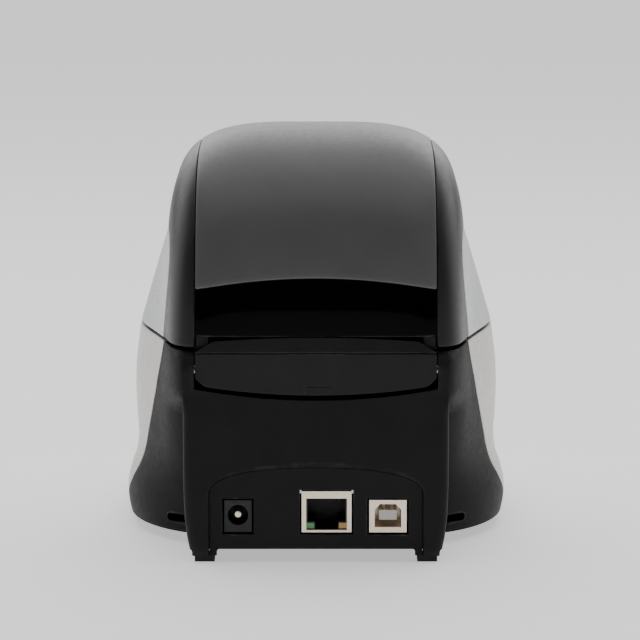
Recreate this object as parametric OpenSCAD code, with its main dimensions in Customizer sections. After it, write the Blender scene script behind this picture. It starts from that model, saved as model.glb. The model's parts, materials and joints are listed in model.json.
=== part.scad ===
/* [Overall] */
// Width of the body across the skirt
body_w = 127; // [125:1:132]
// Depth from the front toe to the rear socket block
body_d = 187; // [185:1:192]
// Height of the top of the lid above the table
body_h = 133; // [131:1:139]
// Height of the parting line between the body and the lid
seam_z = 68; // [67.5:0.5:69]
// Gap at the parting line
seam_gap = 1; // [0.8:0.1:1.2]
// Wall thickness of the moulded housing and lid
wall = 2.8; // [2.6:0.1:3]
// Thickness of the outer skins: strip, wings and side panels
skin_t = 1.4; // [1.2:0.1:1.6]
// Gap around each skin
skin_gap = 0.2; // [0.15:0.05:0.3]

/* [Lid] */
// How far the centre strip's edge lies in from the skirt
strip_inset = 24.6; // [24.2:0.1:25.2]
// Height of the middle of the strip's rear edge
strip_edge_z = 90.6; // [88:0.2:94]
// How far the lid's plain side lies in from the skirt
shoulder = 14.7; // [13.9:0.2:15.3]
// How far the wings stand out at the parting line
wing_out = 9.6; // [8:0.2:10.4]
// Thickness of the smoked window
window_t = 0.9; // [0.7:0.1:1.2]
// Thickness of the hinge cover
flap_t = 2.2; // [1.8:0.1:2.4]
// Height of the lowest point of the hinge cover
flap_low_z = 54; // [53.6:0.2:54.6]
// Height of the top edge of the hinge cover
flap_top_z = 72; // [71:0.5:73]

/* [Hinge] */
// Distance of the hinge axis from the rearmost plane
hinge_inset = 9.5; // [9:0.5:10]
// Height of the hinge axis
hinge_z = 61; // [60.5:0.5:61.5]
// Diameter of the hinge pins
hinge_pin_d = 4; // [3:0.5:4.5]
// Radial play of each hinge pin
hinge_fit = 0.05; // [0.03:0.01:0.1]

/* [Rear block] */
// How far the socket block's side lies in from the skirt
block_inset = 21; // [20.6:0.1:21.2]
// Height of the middle of the block's top edge
block_top_z = 51.3; // [50.5:0.1:51.5]
// How far the arched socket panel's edge lies in from the block's side
panel_margin = 7.5; // [7:0.1:8]
// Height of the top of the arched socket panel
panel_top_z = 31.8; // [30.5:0.1:33]
// How far the socket panel lies in from the rearmost plane
panel_inset = 2; // [1.8:0.1:2.2]

/* [Sockets] */
// Height of the top face of the main board
board_z = 9.5; // [9.3:0.1:10]
// Thickness of the main board
board_t = 1.6; // [1.2:0.1:1.8]
// Distance of the power socket's middle from the panel's edge on the +X side
power_inset = 10.1; // [9:0.1:11]
// Distance of the network socket's middle from the panel's edge on the -X side
network_inset = 31.6; // [31:0.1:32]
// Distance of the data socket's middle from the panel's edge on the -X side
data_inset = 12; // [11:0.1:12.4]
// Bore of the power socket
power_bore_d = 6.4; // [5.5:0.1:6.6]
// Diameter of the power socket's pin
power_pin_d = 2; // [1.6:0.1:2.5]

/* [Label roll bay] */
// Height of the spool's axis
spool_z = 76; // [75:0.5:77]
// Clear way from the roll bay to the head's studs in front of it
bay_front_gap = 3; // [2.8:0.1:4]
// Clear way from the roll bay to the lid's hinge behind it
bay_rear_gap = 13; // [12.8:0.1:14]
// Diameter of the spool's spindle
spindle_d = 24; // [22:0.5:25]
// Diameter of the spool's end discs
disc_d = 62; // [56:1:66]
// Widest label that the spool takes
label_w = 62; // [58:0.5:62]

/* [Print engine] */
// Diameter of the rubber platen roller
platen_d = 12; // [11:0.5:12.5]
// Diameter of the platen's steel shaft
platen_shaft_d = 5; // [4:0.5:6]
// Radial play of the shaft in its bushes
shaft_fit = 0.05; // [0.03:0.01:0.1]
// Gap between the print head and the platen
head_gap = 0.2; // [0.15:0.05:0.3]
// Gear module
gear_m = 0.6; // [0.59:0.01:0.62]
// Teeth on the motor pinion
pinion_teeth = 14; // [13:1:15]
// Teeth on the idler gear
idler_teeth = 32; // [31:1:33]
// Teeth on the platen gear
platen_teeth = 20; // [19:1:22]
// Face width of the gears
gear_w = 3.5; // [3:0.5:4]
// Diameter of the stepper motor
motor_d = 34; // [30:1:34]
// Length of the stepper motor
motor_len = 22; // [18:1:26]

/* [Buttons and feet] */
// Diameter of the two front buttons
button_d = 10; // [8:0.5:11]
// Distance between the middles of the two buttons
button_pitch = 28; // [24:1:32]
// Travel of the buttons
button_travel = 0.8; // [0.5:0.1:1]
// Thickness of the rubber feet
foot_t = 2; // [1.8:0.1:2.2]

/* [Hidden] */
$fn = 48;

// Front and rear ends of the body, and the axes everything hangs on
front_y = -body_d / 2;
rear_y = body_d / 2;
hinge_y = rear_y - hinge_inset;
panel_y = rear_y - panel_inset;
crown_y = 10;
lid_z0 = seam_z + seam_gap / 2;
body_z1 = seam_z - seam_gap / 2;
crown_half = body_w / 2 - shoulder;
strip_half = body_w / 2 - strip_inset;
block_half = body_w / 2 - block_inset;
panel_half = block_half - panel_margin;
power_x = panel_half - power_inset;
network_x = panel_half - network_inset;
data_x = panel_half - data_inset;
rear_cut_y = rear_y - 33.5;
hinge_r = hinge_pin_d / 2;
shaft_r = platen_shaft_d / 2;

// Floor and board levels
floor_z0 = foot_t + 1.4;
floor_t = 2;
floor_z1 = floor_z0 + floor_t;
board_z0 = board_z - board_t;

// Roll bay and spool
bay_t = 2;
bay_half = label_w / 2 + 6;
bay_front = front_y + 63.5 + bay_front_gap;
bay_rear = hinge_y - bay_rear_gap;
spool_y = (bay_front + bay_rear) / 2;
bay_r = (bay_rear - bay_front) / 2 - bay_t;
disc_t = 2.2;
disc_x0 = label_w / 2;
spindle_r = spindle_d / 2;
journal_r = 4;
arm_x0 = disc_x0 + disc_t + 0.5;
arm_x1 = bay_half - 0.8;
arm_r = 9;

// Print engine: side plates just inside the roll bay walls
plate_t = 1.8;
plate_x1 = bay_half - 0.5;
plate_x0 = plate_x1 - plate_t;
platen_y = front_y + 50.5;
platen_z = 52;
platen_r = platen_d / 2;
head_z = platen_z + platen_r + head_gap;
head_t = 1;
sink_t = 3;
bracket_z = head_z + head_t + sink_t;
bracket_t = 1;
pivot_y = platen_y + 13;
pivot_z = bracket_z - 3;
pivot_r = 1.5;
lever_y = platen_y + 8;
lever_z = platen_z - 1;
lever_stud_r = 1.45;
cam_r = 5;
cam_shift = 1.6;
motor_y = platen_y + 3;
motor_z = 23.8;
motor_r = motor_d / 2;
pinion_r = gear_m * pinion_teeth / 2;
idler_r = gear_m * idler_teeth / 2;
wheel_r = gear_m * platen_teeth / 2;
gear_x0 = plate_x1 + 0.6;
gear_x1 = gear_x0 + gear_w;
gear_play = 0.1;

// The idler's axis lies where both meshing distances meet
mesh_a = pinion_r + idler_r + gear_play;
mesh_b = wheel_r + idler_r + gear_play;
axis_dy = platen_y - motor_y;
axis_dz = platen_z - motor_z;
axis_d = sqrt(axis_dy * axis_dy + axis_dz * axis_dz);
mesh_along = (mesh_a * mesh_a - mesh_b * mesh_b + axis_d * axis_d) / (2 * axis_d);
mesh_off = sqrt(mesh_a * mesh_a - mesh_along * mesh_along);
idler_y = motor_y + (axis_dy * mesh_along + axis_dz * mesh_off) / axis_d;
idler_z = motor_z + (axis_dz * mesh_along - axis_dy * mesh_off) / axis_d;

// Buttons: a plane square to the sloping front
button_r = button_d / 2;
button_z = 35;
button_tilt = 45;

// Rings of the two lofts
ring_n = 40;
lid_steps = [-1, 0, 10, 20, 30, 40, 50, 58, 66, 73, 80, 84, 88];
body_steps = [2, 5, 8, 11, 14, 18, 21, 25, 30, 38, 46, 54, 62, 76];

// How far the body's side lies in from the skirt at each height, for a body 133 high
body_in = [[2, 1.5], [7, 0.3], [11, 0], [14, 0.2], [18, 1.3], [21, 2.5], [25, 3.5], [30, 3.9],
    [38, 3.4], [46, 3.1], [54, 3.3], [61, 4.2], [68, 5.1], [76, 6]];
// How far the outline has changed from the parting line's towards the toe's
body_change = [[2, 0.96], [8, 1], [15, 0.95], [28, 0.7], [45, 0.33], [58, 0.1], [68, 0],
    [76, 0]];

function squash(a, q) = pow(pow(abs(cos(a)), q) + pow(abs(sin(a)), q), -1 / q);
function ease(t) = t <= 0 ? 0 : t >= 1 ? 1 : t * t * (3 - 2 * t);
function bell(y) = y > 20 ? 1 - ease((y - 20) / (rear_y - 38.5)) : 1 - 0.8 * ease((20 - y) / (-front_y - 19.5));
function taper(u, n, m) = pow(max(0, 1 - pow(u, n)), 1 / m);

// Point of the lid's surface: a runs round from +X to the rear, b rises from the seam
function lid_point(a, b) =
    let (
        u = b < 0 ? 0 : sin(b),
        z = b < 0 ? seam_z + b * 8 : seam_z + (body_h - seam_z) * u,
        q = 8 - 4 * u,
        r = squash(a, q),
        back = (rear_y - 5 - crown_y) * taper(u, 2.8, 2.8),
        fore = (crown_y - front_y - 40) * taper(u, 2, 2),
        y = crown_y + (sin(a) > 0 ? back : fore) * r * sin(a),
        out = wing_out * max(0, 1 - max(0, z - seam_z) / 33) * bell(y) * pow(r * abs(cos(a)), 3),
        x = crown_half * taper(u, 5.5, 3) * r * cos(a) + sign(cos(a)) * out
    )
    [x, y, z];

// Point of the body's surface at angle a and height z
function body_point(a, z) =
    let (
        h = z * 68 / seam_z,
        t = lookup(h, body_change),
        top = lid_point(a, 0),
        r = squash(a, 2.5),
        low_y = crown_y + (sin(a) > 0 ? rear_y - 21.5 - crown_y : crown_y - front_y) * r * sin(a),
        full = (crown_half + wing_out) * (1 - t) + body_w / 2 * t,
        x = top[0] * (1 - t) + body_w / 2 * r * cos(a) * t
    )
    [x * (body_w / 2 - lookup(h, body_in)) / full, top[1] * (1 - t) + low_y * t, z];

function unit(v) = v / norm(v);
function lid_skin(a, b, inset) =
    let (
        du = lid_point(a + 0.5, b) - lid_point(a - 0.5, b),
        dv = lid_point(a, b + 0.5) - lid_point(a, b - 0.5)
    )
    lid_point(a, b) - inset * unit(cross(du, dv));
function body_skin(a, z, inset) =
    let (
        du = body_point(a + 0.5, z) - body_point(a - 0.5, z),
        dv = body_point(a, z + 0.5) - body_point(a, z - 0.5)
    )
    body_point(a, z) - inset * unit(cross(du, dv));

// Closed skin through rings of ring_n points, flat at both ends
module ring_loft(points, rings) {
    sides = [
        for (j = [0 : rings - 2]) for (i = [0 : ring_n - 1])
            let (p = j * ring_n + i, q = j * ring_n + (i + 1) % ring_n)
            each [[q, p, q + ring_n], [p, p + ring_n, q + ring_n]]
    ];
    low = [for (i = [0 : ring_n - 1]) i];
    high = [for (i = [0 : ring_n - 1]) rings * ring_n - 1 - i];
    polyhedron(points = points, faces = concat(sides, [low], [high]));
}

module lid_loft(inset) {
    rows = len(lid_steps);
    ring_loft([for (b = lid_steps) for (i = [0 : ring_n - 1])
        lid_skin(360 * i / ring_n, b, inset)], rows);
}

module body_loft(inset) {
    rows = len(body_steps);
    ring_loft([for (z = body_steps) for (i = [0 : ring_n - 1])
        body_skin(360 * i / ring_n, z, inset)], rows);
}

// Box from its two corners
module slab(x0, x1, y0, y1, z0, z1) {
    translate([x0, y0, z0]) cube([x1 - x0, y1 - y0, z1 - z0]);
}

// Outline drawn in Y and Z, extruded from x0 to x1
module across(x0, x1) {
    translate([x0, 0, 0]) rotate([90, 0, 90]) linear_extrude(x1 - x0) children();
}

// Round bar along X
module rod(r, x0, x1, y, z) {
    translate([x0, y, z]) rotate([0, 90, 0]) cylinder(r = r, h = x1 - x0);
}

// Round bar along Y
module peg(r, y0, y1, x, z) {
    translate([x, y1, z]) rotate([90, 0, 0]) cylinder(r = r, h = y1 - y0);
}

// Both sides of the middle plane
module both() {
    children();
    mirror([1, 0, 0]) children();
}

// Outline of the body at one height, moved in
module body_outline(z, inset) {
    polygon([for (i = [0 : ring_n - 1])
        let (p = body_skin(360 * i / ring_n, z, inset)) [p[0], p[1]]]);
}

// ---- Regions that the outer skins cover ----

arch_z = strip_edge_z - 200;
button_y = body_point(-90, button_z)[1];

// The centre strip, over the top of the lid, ending in an arched rear edge
module strip_region(gap) {
    half = strip_half - gap;
    difference() {
        slab(-half, half, front_y - 5, rear_y + 5, lid_z0 - 1, body_h + 9);
        peg(200 + gap, crown_y + 30, rear_y + 9, 0, arch_z, $fn = 200);
    }
}

// The window band between the strip's rear edge and the hinge cover
module window_region(gap) {
    half = strip_half - gap;
    intersection() {
        slab(-half, half, crown_y + 40, rear_y + 5, flap_top_z + 0.3 + gap, body_h);
        peg(200 - gap, crown_y + 40, rear_y + 9, 0, arch_z, $fn = 200);
    }
}

// The wing of one side, in side view
module wing_region(gap) {
    across(40, 90) polygon([
        [rear_y - 30 - gap, lid_z0 - gap], [rear_y - 26.7 - gap, 81],
        [rear_y - 24.2 - gap, 90], [rear_y - 25 - gap, 97], [rear_y - 31.5, 102 - gap],
        [rear_y - 43.5, 103 - gap],
        [crown_y + 8, 102 - gap], [front_y + 81.5, 99 - gap], [front_y + 63.5 + gap, 89],
        [front_y + 53.5 + gap, 77], [front_y + 50.5 + gap, lid_z0 - gap]
    ]);
}

// The side panel of one side, in side view
module side_region(gap) {
    low = 8 + gap;
    across(36, 90) polygon([
        [rear_y - 24 - gap, 80], [rear_y - 31.7 - gap, 58], [rear_y - 37 - gap, 49],
        [rear_y - 45.5 - gap, 38.6], [rear_y - 53 - gap, 30.5], [rear_y - 58.5 - gap, 22],
        [rear_y - 65.5 - gap, 13], [rear_y - 75.5, low],
        [front_y + 33.5, low], [front_y + 21.5 + gap, 14], [front_y + 24.5 + gap, 30],
        [front_y + 38.5 + gap, 48], [front_y + 50.5 + gap, 80]
    ]);
}

// The fascia on the sloping front
module front_region(gap) {
    slab(-27 + gap, 27 - gap, front_y - 5, 0, 19 + gap, 51 - gap);
}

// ---- Body shell ----

// Local frame of a button: its +Z leaves the sloping front squarely
module at_button(x) {
    translate([x, button_y, button_z]) rotate([button_tilt, 0, 0]) children();
}

module body_housing() {
    color([0.16, 0.16, 0.16]) {
        difference() {
            intersection() {
                body_loft(0);
                slab(-90, 90, -body_d, body_d, floor_z0, body_z1);
            }
            body_loft(wall);
            intersection() {
                difference() {
                    body_loft(-1);
                    body_loft(skin_t + 0.1);
                }
                union() {
                    both() side_region(0);
                    front_region(0);
                }
            }
            slab(-block_half - 0.1, block_half + 0.1, block_y0 - 0.2, rear_y + 5, 0, 90);
            slab(-label_w / 2 - 2, label_w / 2 + 2, front_y, platen_y + 3, slot_z0, slot_z1);
            for (x = [-button_pitch / 2, button_pitch / 2])
                at_button(x) translate([0, 0, -9]) cylinder(r = button_r + 0.4, h = 14);
            at_button(0) translate([0, 0, -9]) cylinder(r = 1.6, h = 14);
            both() slab(block_half + 1, block_half + 6.5, rear_y - 63.5, rear_y, 6.6, 9.4);
        }
        for (x = [-23, 23])
            at_button(x) translate([0, 0, -12]) cylinder(r = 2.5, h = 7.2);
    }
}

slot_z0 = platen_z + 3.5;
slot_z1 = head_z + 3;

module side_panel(side) {
    intersection() {
        difference() {
            body_loft(0);
            body_loft(skin_t);
        }
        mirror([side, 0, 0]) side_region(skin_gap);
        slab(-90, 90, -body_d, body_d, 0, body_z1);
    }
}

module side_panel_right() {
    color([0.75, 0.75, 0.73]) side_panel(0);
}

module side_panel_left() {
    color([0.75, 0.75, 0.73]) side_panel(1);
}

module front_panel() {
    color([0.08, 0.08, 0.08]) difference() {
        intersection() {
            difference() {
                body_loft(0);
                body_loft(skin_t);
            }
            front_region(skin_gap);
        }
        for (x = [-button_pitch / 2, button_pitch / 2])
            at_button(x) translate([0, 0, -9]) cylinder(r = button_r + 0.4, h = 14);
        at_button(0) translate([0, 0, -9]) cylinder(r = 1.6, h = 14);
    }
}

// ---- Rear socket block ----

cheek_r = hinge_inset - 3.3;
cheek_x0 = strip_half - 0.1;
block_wall = 2.5;
block_y0 = rear_y - 38.3;
block_in_y = rear_y - 5.3;
pocket_z = block_top_z - 2;

function block_back(z) = rear_y - 2.9 * pow(max(0, z - 5) / 46.3, 2);

module block_side_view() {
    polygon(concat(
        [[block_y0, pocket_z], [block_y0, floor_z0], [rear_y - 0.7, floor_z0]],
        [for (z = [5 : 5 : 50]) [block_back(z), z]],
        [[hinge_y + cheek_r, 55.5], [hinge_y + cheek_r, hinge_z], [hinge_y, hinge_z],
            [hinge_y, hinge_z + cheek_r], [hinge_y - 10, hinge_z + cheek_r],
            [hinge_y - 10, pocket_z]]
    ));
    translate([hinge_y, hinge_z]) circle(r = cheek_r);
}

// Plan of the block with rounded rear corners
module block_plan(half, corner) {
    translate([-half, 0]) square([2 * half, rear_y - corner]);
    translate([-half + corner, 0]) square([2 * (half - corner), rear_y]);
    for (s = [-1, 1]) translate([s * (half - corner), rear_y - corner]) circle(r = corner);
}

// Arched outline of the socket panel, seen from behind
module panel_outline(grow) {
    corner = 16;
    half = panel_half + grow;
    top = panel_top_z + grow;
    translate([-half, 0]) square([2 * half, top - corner]);
    translate([-half + corner, 0]) square([2 * (half - corner), top]);
    for (s = [-1, 1]) translate([s * (half - corner), top - corner]) circle(r = corner);
}

module panel_slice(grow, y0, y1) {
    translate([0, y1, 0]) rotate([90, 0, 0]) linear_extrude(y1 - y0) panel_outline(grow);
}

module rear_block() {
    color([0.13, 0.13, 0.13]) difference() {
        union() {
            difference() {
                intersection() {
                    across(-block_half, block_half) block_side_view();
                    linear_extrude(90) block_plan(block_half, 3);
                }
                // Inside, open to the front and below
                slab(-block_half + block_wall, block_half - block_wall, 0, block_in_y,
                    0, pocket_z - 1.8);
                slab(-block_half + block_wall, block_half - block_wall, 0, hinge_y - 10.5, 0, 90);
                slab(-panel_half - 2.2, panel_half + 2.2, rear_cut_y, panel_y - 1.6, 0,
                    panel_top_z + 2.2);
                // Pocket that the hinge cover turns into
                slab(-cheek_x0, cheek_x0, 0, block_in_y + 0.2, pocket_z, 90);
                slab(-cheek_x0, cheek_x0, rear_cut_y, rear_y + 5, flap_low_z - 1, 90);
                intersection() {
                    peg(250 + flap_low_z - block_top_z, rear_cut_y, rear_y + 5, 0, flap_low_z + 250,
                        $fn = 200);
                    slab(-cheek_x0, cheek_x0, rear_cut_y, rear_y + 5, 0, 90);
                }
            }
            both() slab(block_half - 10.9, block_half - 2.9, rear_y - 11.5, rear_y - 1.5, foot_t,
                floor_z0 + 1);
        }
        panel_slice(0.15, rear_cut_y, rear_y + 5);
        both() slab(block_half - 11.5, block_half - block_wall, rear_y - 12, rear_y - 5.4, floor_z0,
            floor_z1 + 0.2);
        both() rod(hinge_r + hinge_fit, cheek_x0 - 1, block_half - 1, hinge_y, hinge_z);
    }
}

module port_panel() {
    color([0.11, 0.11, 0.11]) difference() {
        union() {
            intersection() {
                panel_slice(0, panel_y - 1.6, panel_y);
                slab(-90, 90, 0, rear_y + 5, floor_z0 - 0.1, 90);
            }
            intersection() {
                panel_slice(2, panel_y - 3.1, panel_y - 1.6);
                slab(-90, 90, 0, rear_y + 5, floor_z1 + 0.1, 90);
            }
        }
        slab(power_x - 5.05, power_x + 5.05, rear_cut_y, rear_y + 5, board_z - 0.7,
            board_z + 10.9);
        slab(-network_x - 8.55, -network_x + 8.55, rear_cut_y, rear_y + 5, board_z - 0.6,
            board_z + 14.1);
        slab(-data_x - 6.65, -data_x + 6.65, rear_cut_y, rear_y + 5, board_z - 0.8, board_z + 11.3);
        slab(-block_half, block_half, rear_cut_y, panel_y - 1.6, board_z0 - 0.1, board_z + 0.1);
    }
}

// ---- Floor ----

well_x = bay_half + bay_t;
post_spots = [[well_x + 3, rear_y - 51.5], [(well_x + body_w / 2 - 10) / 2, front_y + 88.5]];
board_half = min(block_half - 3.9, well_x - 0.4);
board_y0 = panel_y - 64.5;
board_posts = [[board_half - 4.6, board_y0 + 5], [board_half - 4.6, panel_y - 9.5]];
front_foot = [body_w / 2 - 21.5, front_y + 35.5];

module base_plate() {
    color([0.12, 0.12, 0.12]) difference() {
        union() {
            translate([0, 0, floor_z0]) linear_extrude(floor_t)
                intersection() {
                    body_outline(floor_z0, wall + 0.7);
                    translate([-body_w, -body_d]) square([2 * body_w, body_d + block_y0 - 0.2]);
                }
            slab(-block_half + block_wall + 0.1, block_half - block_wall - 0.1, block_y0 - 5,
                rear_y - 5.6, floor_z0, floor_z1);
            both() translate([front_foot[0], front_foot[1], foot_t]) {
                cylinder(r = 7, h = floor_z0 - foot_t);
                cylinder(r = 5, h = floor_z0 - foot_t + 0.5);
            }
            both() for (p = board_posts)
                translate([p[0], p[1], floor_z0]) cylinder(r = 3, h = board_z0 - floor_z0);
            difference() {
                both() slab(20, 23, spool_y - 12, spool_y, floor_z0, spool_z);
                rod(bay_r + bay_t, -40, 40, spool_y, spool_z, $fn = 96);
            }
        }
        both() for (p = post_spots) translate([p[0], p[1], floor_z0 - 1]) {
            cylinder(r = 1.5, h = 9);
            cylinder(r = 3.1, h = 2);
        }
        both() for (p = board_posts)
            translate([p[0], p[1], floor_z0 + 1]) cylinder(r = 1.1, h = 9);
        for (i = [-3 : 3]) slab(i * 6 - 1, i * 6 + 1, spool_y - 36, spool_y - 18, 0, 9);
    }
}

module rubber_feet() {
    color([0.06, 0.06, 0.06]) both() {
        slab(block_half - 10.1, block_half - 3.7, rear_y - 10.7, rear_y - 2.3, 0, foot_t);
        translate([front_foot[0], front_foot[1], 0]) cylinder(r = 6, h = foot_t);
    }
}

module case_screws() {
    color([0.6, 0.6, 0.62]) both() for (p = post_spots)
        translate([p[0], p[1], floor_z0]) difference() {
            union() {
                cylinder(r = 2.8, h = 1);
                cylinder(r = 1.2, h = 11);
            }
            translate([-0.4, -2, -1]) cube([0.8, 4, 1.5]);
            translate([-2, -0.4, -1]) cube([4, 0.8, 1.5]);
        }
}

// ---- Deck and roll bay ----

deck_z0 = seam_z - 3.2;
deck_t = 1.6;

module inner_deck() {
    color([0.14, 0.14, 0.14]) difference() {
        union() {
            translate([0, 0, deck_z0]) linear_extrude(deck_t)
                body_outline(deck_z0 + deck_t, wall + 0.2);
            both() for (p = post_spots)
                translate([p[0], p[1], floor_z1]) cylinder(r = 3, h = deck_z0 - floor_z1 + 0.5);
        }
        both() for (p = post_spots)
            translate([p[0], p[1], floor_z1 - 1]) cylinder(r = 1.25, h = 14);
        bay_chord = sqrt(bay_r * bay_r - pow(spool_z - deck_z0, 2));
        slab(-bay_half, bay_half, spool_y - bay_chord, spool_y + bay_chord, 0, 90);
        slab(-well_x + 0.2, well_x - 0.2, platen_y - 7, platen_y + 23, deck_z0 - 1, 90);
        slab(-well_x - 3.2, -well_x + 1, platen_y - 7, lever_y + 20, deck_z0 - 1, 90);
        slab(-block_half - 0.3, block_half + 0.3, hinge_y - 10.5, rear_y, 0, 90);
        slab(-90, 90, front_y - 20, platen_y - 7, 0, 90);
    }
}

module roll_well() {
    color([0.14, 0.14, 0.14]) difference() {
        intersection() {
            difference() {
                rod(bay_r + bay_t, -bay_half - bay_t, bay_half + bay_t, spool_y, spool_z,
                    $fn = 96);
                rod(bay_r, -bay_half, bay_half, spool_y, spool_z, $fn = 96);
            }
            slab(-90, 90, front_y, rear_y, 0, deck_z0);
        }
        slab(-label_w / 2 - 1, label_w / 2 + 1, platen_y + 3, platen_y + 38, platen_z - 7,
            platen_z + 3);
    }
}

// ---- Main board and sockets ----

module main_board() {
    color([0.05, 0.32, 0.16]) difference() {
        slab(-board_half, board_half, board_y0, panel_y - 3.4, board_z0, board_z);
        both() for (p = board_posts) translate([p[0], p[1], 0]) cylinder(r = 1.1, h = 20);
    }
}

module board_chips() {
    color([0.1, 0.1, 0.11]) {
        slab(-10, 4, board_y0 + 13, board_y0 + 27, board_z, board_z + 1.4);
        slab(-26, -18, board_y0 + 15, board_y0 + 27, board_z, board_z + 1.2);
        slab(12, 20, board_y0 + 9, board_y0 + 14, board_z, board_z + 2);
        for (x = [power_x - 0.9, power_x + 7.1])
            translate([x, board_y0 + 31, board_z]) cylinder(r = 3.2, h = 9);
        slab(-data_x - 11, -data_x - 5, board_y0 + 33, board_y0 + 37, board_z, board_z + 3);
        slab(power_x - 14.9, power_x - 11.9, board_y0 + 33, board_y0 + 43, board_z, board_z + 6);
    }
}

power_z = board_z + 5.7;

module power_jack() {
    color([0.08, 0.08, 0.08]) difference() {
        slab(power_x - 4.5, power_x + 4.5, panel_y - 13.3, panel_y - 0.3, board_z,
            board_z + 10.6);
        peg(power_bore_d / 2, panel_y - 10.3, panel_y + 1, power_x, power_z);
        peg(power_pin_d / 2, panel_y - 14, panel_y, power_x, power_z);
    }
}

module power_pin() {
    color([0.8, 0.78, 0.72]) peg(power_pin_d / 2, panel_y - 13, panel_y - 1.4, power_x, power_z);
}

// Network socket: a metal shell round a black insert with a stepped mouth
network_w = 16;
network_h = 13.4;
network_depth = 21;
network_face = panel_y - 0.3;

module network_shell() {
    color([0.78, 0.76, 0.7]) difference() {
        slab(-network_x - network_w / 2, -network_x + network_w / 2, network_face - network_depth,
            network_face, board_z, board_z + network_h);
        slab(-network_x - network_w / 2 + 0.4, -network_x + network_w / 2 - 0.4,
            network_face - network_depth + 0.4, network_face - 0.4, board_z + 0.4,
            board_z + network_h - 0.4);
        slab(-network_x - 6.5, -network_x + 6.5, network_face - 1, network_face + 1,
            board_z + 0.8, board_z + 11);
    }
}

module network_insert() {
    color([0.06, 0.06, 0.06]) difference() {
        slab(-network_x - network_w / 2 + 0.45, -network_x + network_w / 2 - 0.45,
            network_face - network_depth + 0.45, network_face - 0.45, board_z + 0.45,
            board_z + network_h - 0.45);
        slab(-network_x - 6, -network_x + 6, network_face - 14, network_face + 1,
            board_z + 3.5, board_z + 10.8);
        slab(-network_x - 3.6, -network_x + 3.6, network_face - 14, network_face + 1,
            board_z + 1, board_z + 4);
        both_lamps(0.05);
    }
}

// Pockets of the two lamps in the socket's lower corners
module both_lamps(gap) {
    lamp(1, gap);
    lamp(-1, gap);
}

module lamp(side, gap) {
    x = -network_x + side * 5.4;
    slab(x - 1.5 - gap, x + 1.5 + gap, network_face - 6 - gap, network_face - 0.45 + gap,
        board_z + 1.2 - gap, board_z + 3.1 + gap);
}

module network_contacts() {
    color([0.85, 0.7, 0.35]) for (i = [0 : 7])
        across(-network_x - 4.1 + i * 1.1, -network_x - 3.6 + i * 1.1) polygon([
            [network_face - 13.9, board_z + 10.7], [network_face - 3, board_z + 10.7],
            [network_face - 3, board_z + 10.3], [network_face - 12, board_z + 8.2],
            [network_face - 12.6, board_z + 8.5], [network_face - 13.9, board_z + 9]
        ]);
}

module green_led() {
    color([0.2, 0.7, 0.2]) lamp(1, 0);
}

module amber_led() {
    color([0.9, 0.6, 0.1]) lamp(-1, 0);
}

// Data socket: a square metal shell with two cut corners round a tongue
data_w = 12;
data_h = 10.6;
data_depth = 16;
data_face = panel_y - 0.2;

module data_mouth(grow) {
    w = 4.2 + grow;
    polygon([[-w, 1.8 - grow], [w, 1.8 - grow], [w, 7.4], [2.5 + grow / 2, 9.2 + grow],
        [-2.5 - grow / 2, 9.2 + grow], [-w, 7.4]]);
}

module usb_shell() {
    color([0.8, 0.78, 0.72]) difference() {
        slab(-data_x - data_w / 2, -data_x + data_w / 2, data_face - data_depth, data_face,
            board_z, board_z + data_h);
        translate([-data_x, data_face + 1, board_z]) rotate([90, 0, 0])
            linear_extrude(data_depth - 2) data_mouth(0);
    }
}

module usb_tongue() {
    color([0.9, 0.9, 0.88]) slab(-data_x - 2.9, -data_x + 2.9, data_face - data_depth + 3,
        data_face - 1.2, board_z + 3.9, board_z + 7.1);
}

module usb_contacts() {
    color([0.85, 0.7, 0.35]) for (x = [-1.3, 1.3], z = [3.6, 7.1])
        slab(-data_x + x - 0.5, -data_x + x + 0.5, data_face - data_depth + 3.2,
            data_face - 2.2, board_z + z, board_z + z + 0.3);
}

// ---- Print engine ----

module engine_frame() {
    color([0.55, 0.56, 0.58]) difference() {
        union() {
            both() across(plate_x0, plate_x1) polygon([
                [platen_y - 17, floor_z1], [platen_y - 17, platen_z - 22],
                [platen_y - 8, platen_z + 1], [platen_y - 5.4, bracket_z - 1.8],
                [pivot_y - 4.5, bracket_z - 1.8], [pivot_y - 3, pivot_z + 4],
                [pivot_y + 3, pivot_z + 4], [pivot_y + 3, platen_z],
                [platen_y + 22, platen_z - 8], [platen_y + 22, floor_z1]
            ]);
            slab(-plate_x1, plate_x1, platen_y - 15, platen_y + 21, floor_z1, floor_z1 + 1.2);
            slab(-plate_x1, plate_x1, platen_y - 12, platen_y - 8.5, platen_z - 9, platen_z - 6);
            both() rod(pivot_r, plate_x0 - 2.4, plate_x1, pivot_y, pivot_z);
            rod(lever_stud_r, -plate_x1 - 4.8, -plate_x0, lever_y, lever_z);
        }
        both() rod(bush_r, plate_x0 - 5, plate_x1 + 5, platen_y, platen_z);
        rod(2.4, plate_x0 - 0.3, plate_x1 + 5, motor_y, motor_z);
        rod(idler_post_r, plate_x0 - 0.3, plate_x1 + 5, idler_y, idler_z);
    }
}

head_half = label_w / 2 + 0.5;
bush_r = shaft_r + 2;
idler_post_r = 2;
motor_shaft_r = 1.5;

module platen_bushes() {
    color([0.9, 0.88, 0.82]) both() difference() {
        rod(bush_r, plate_x0, plate_x1, platen_y, platen_z);
        rod(shaft_r + shaft_fit, plate_x0 - 1, plate_x1 + 1, platen_y, platen_z);
    }
}

module stepper_motor() {
    color([0.7, 0.7, 0.72]) difference() {
        union() {
            rod(motor_r, plate_x0 - motor_len, plate_x0, motor_y, motor_z);
            rod(2.35, plate_x0 - 1, plate_x1, motor_y, motor_z);
        }
        rod(motor_shaft_r + shaft_fit, plate_x0 - motor_len + 4, plate_x1 + 1, motor_y, motor_z);
    }
}

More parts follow.
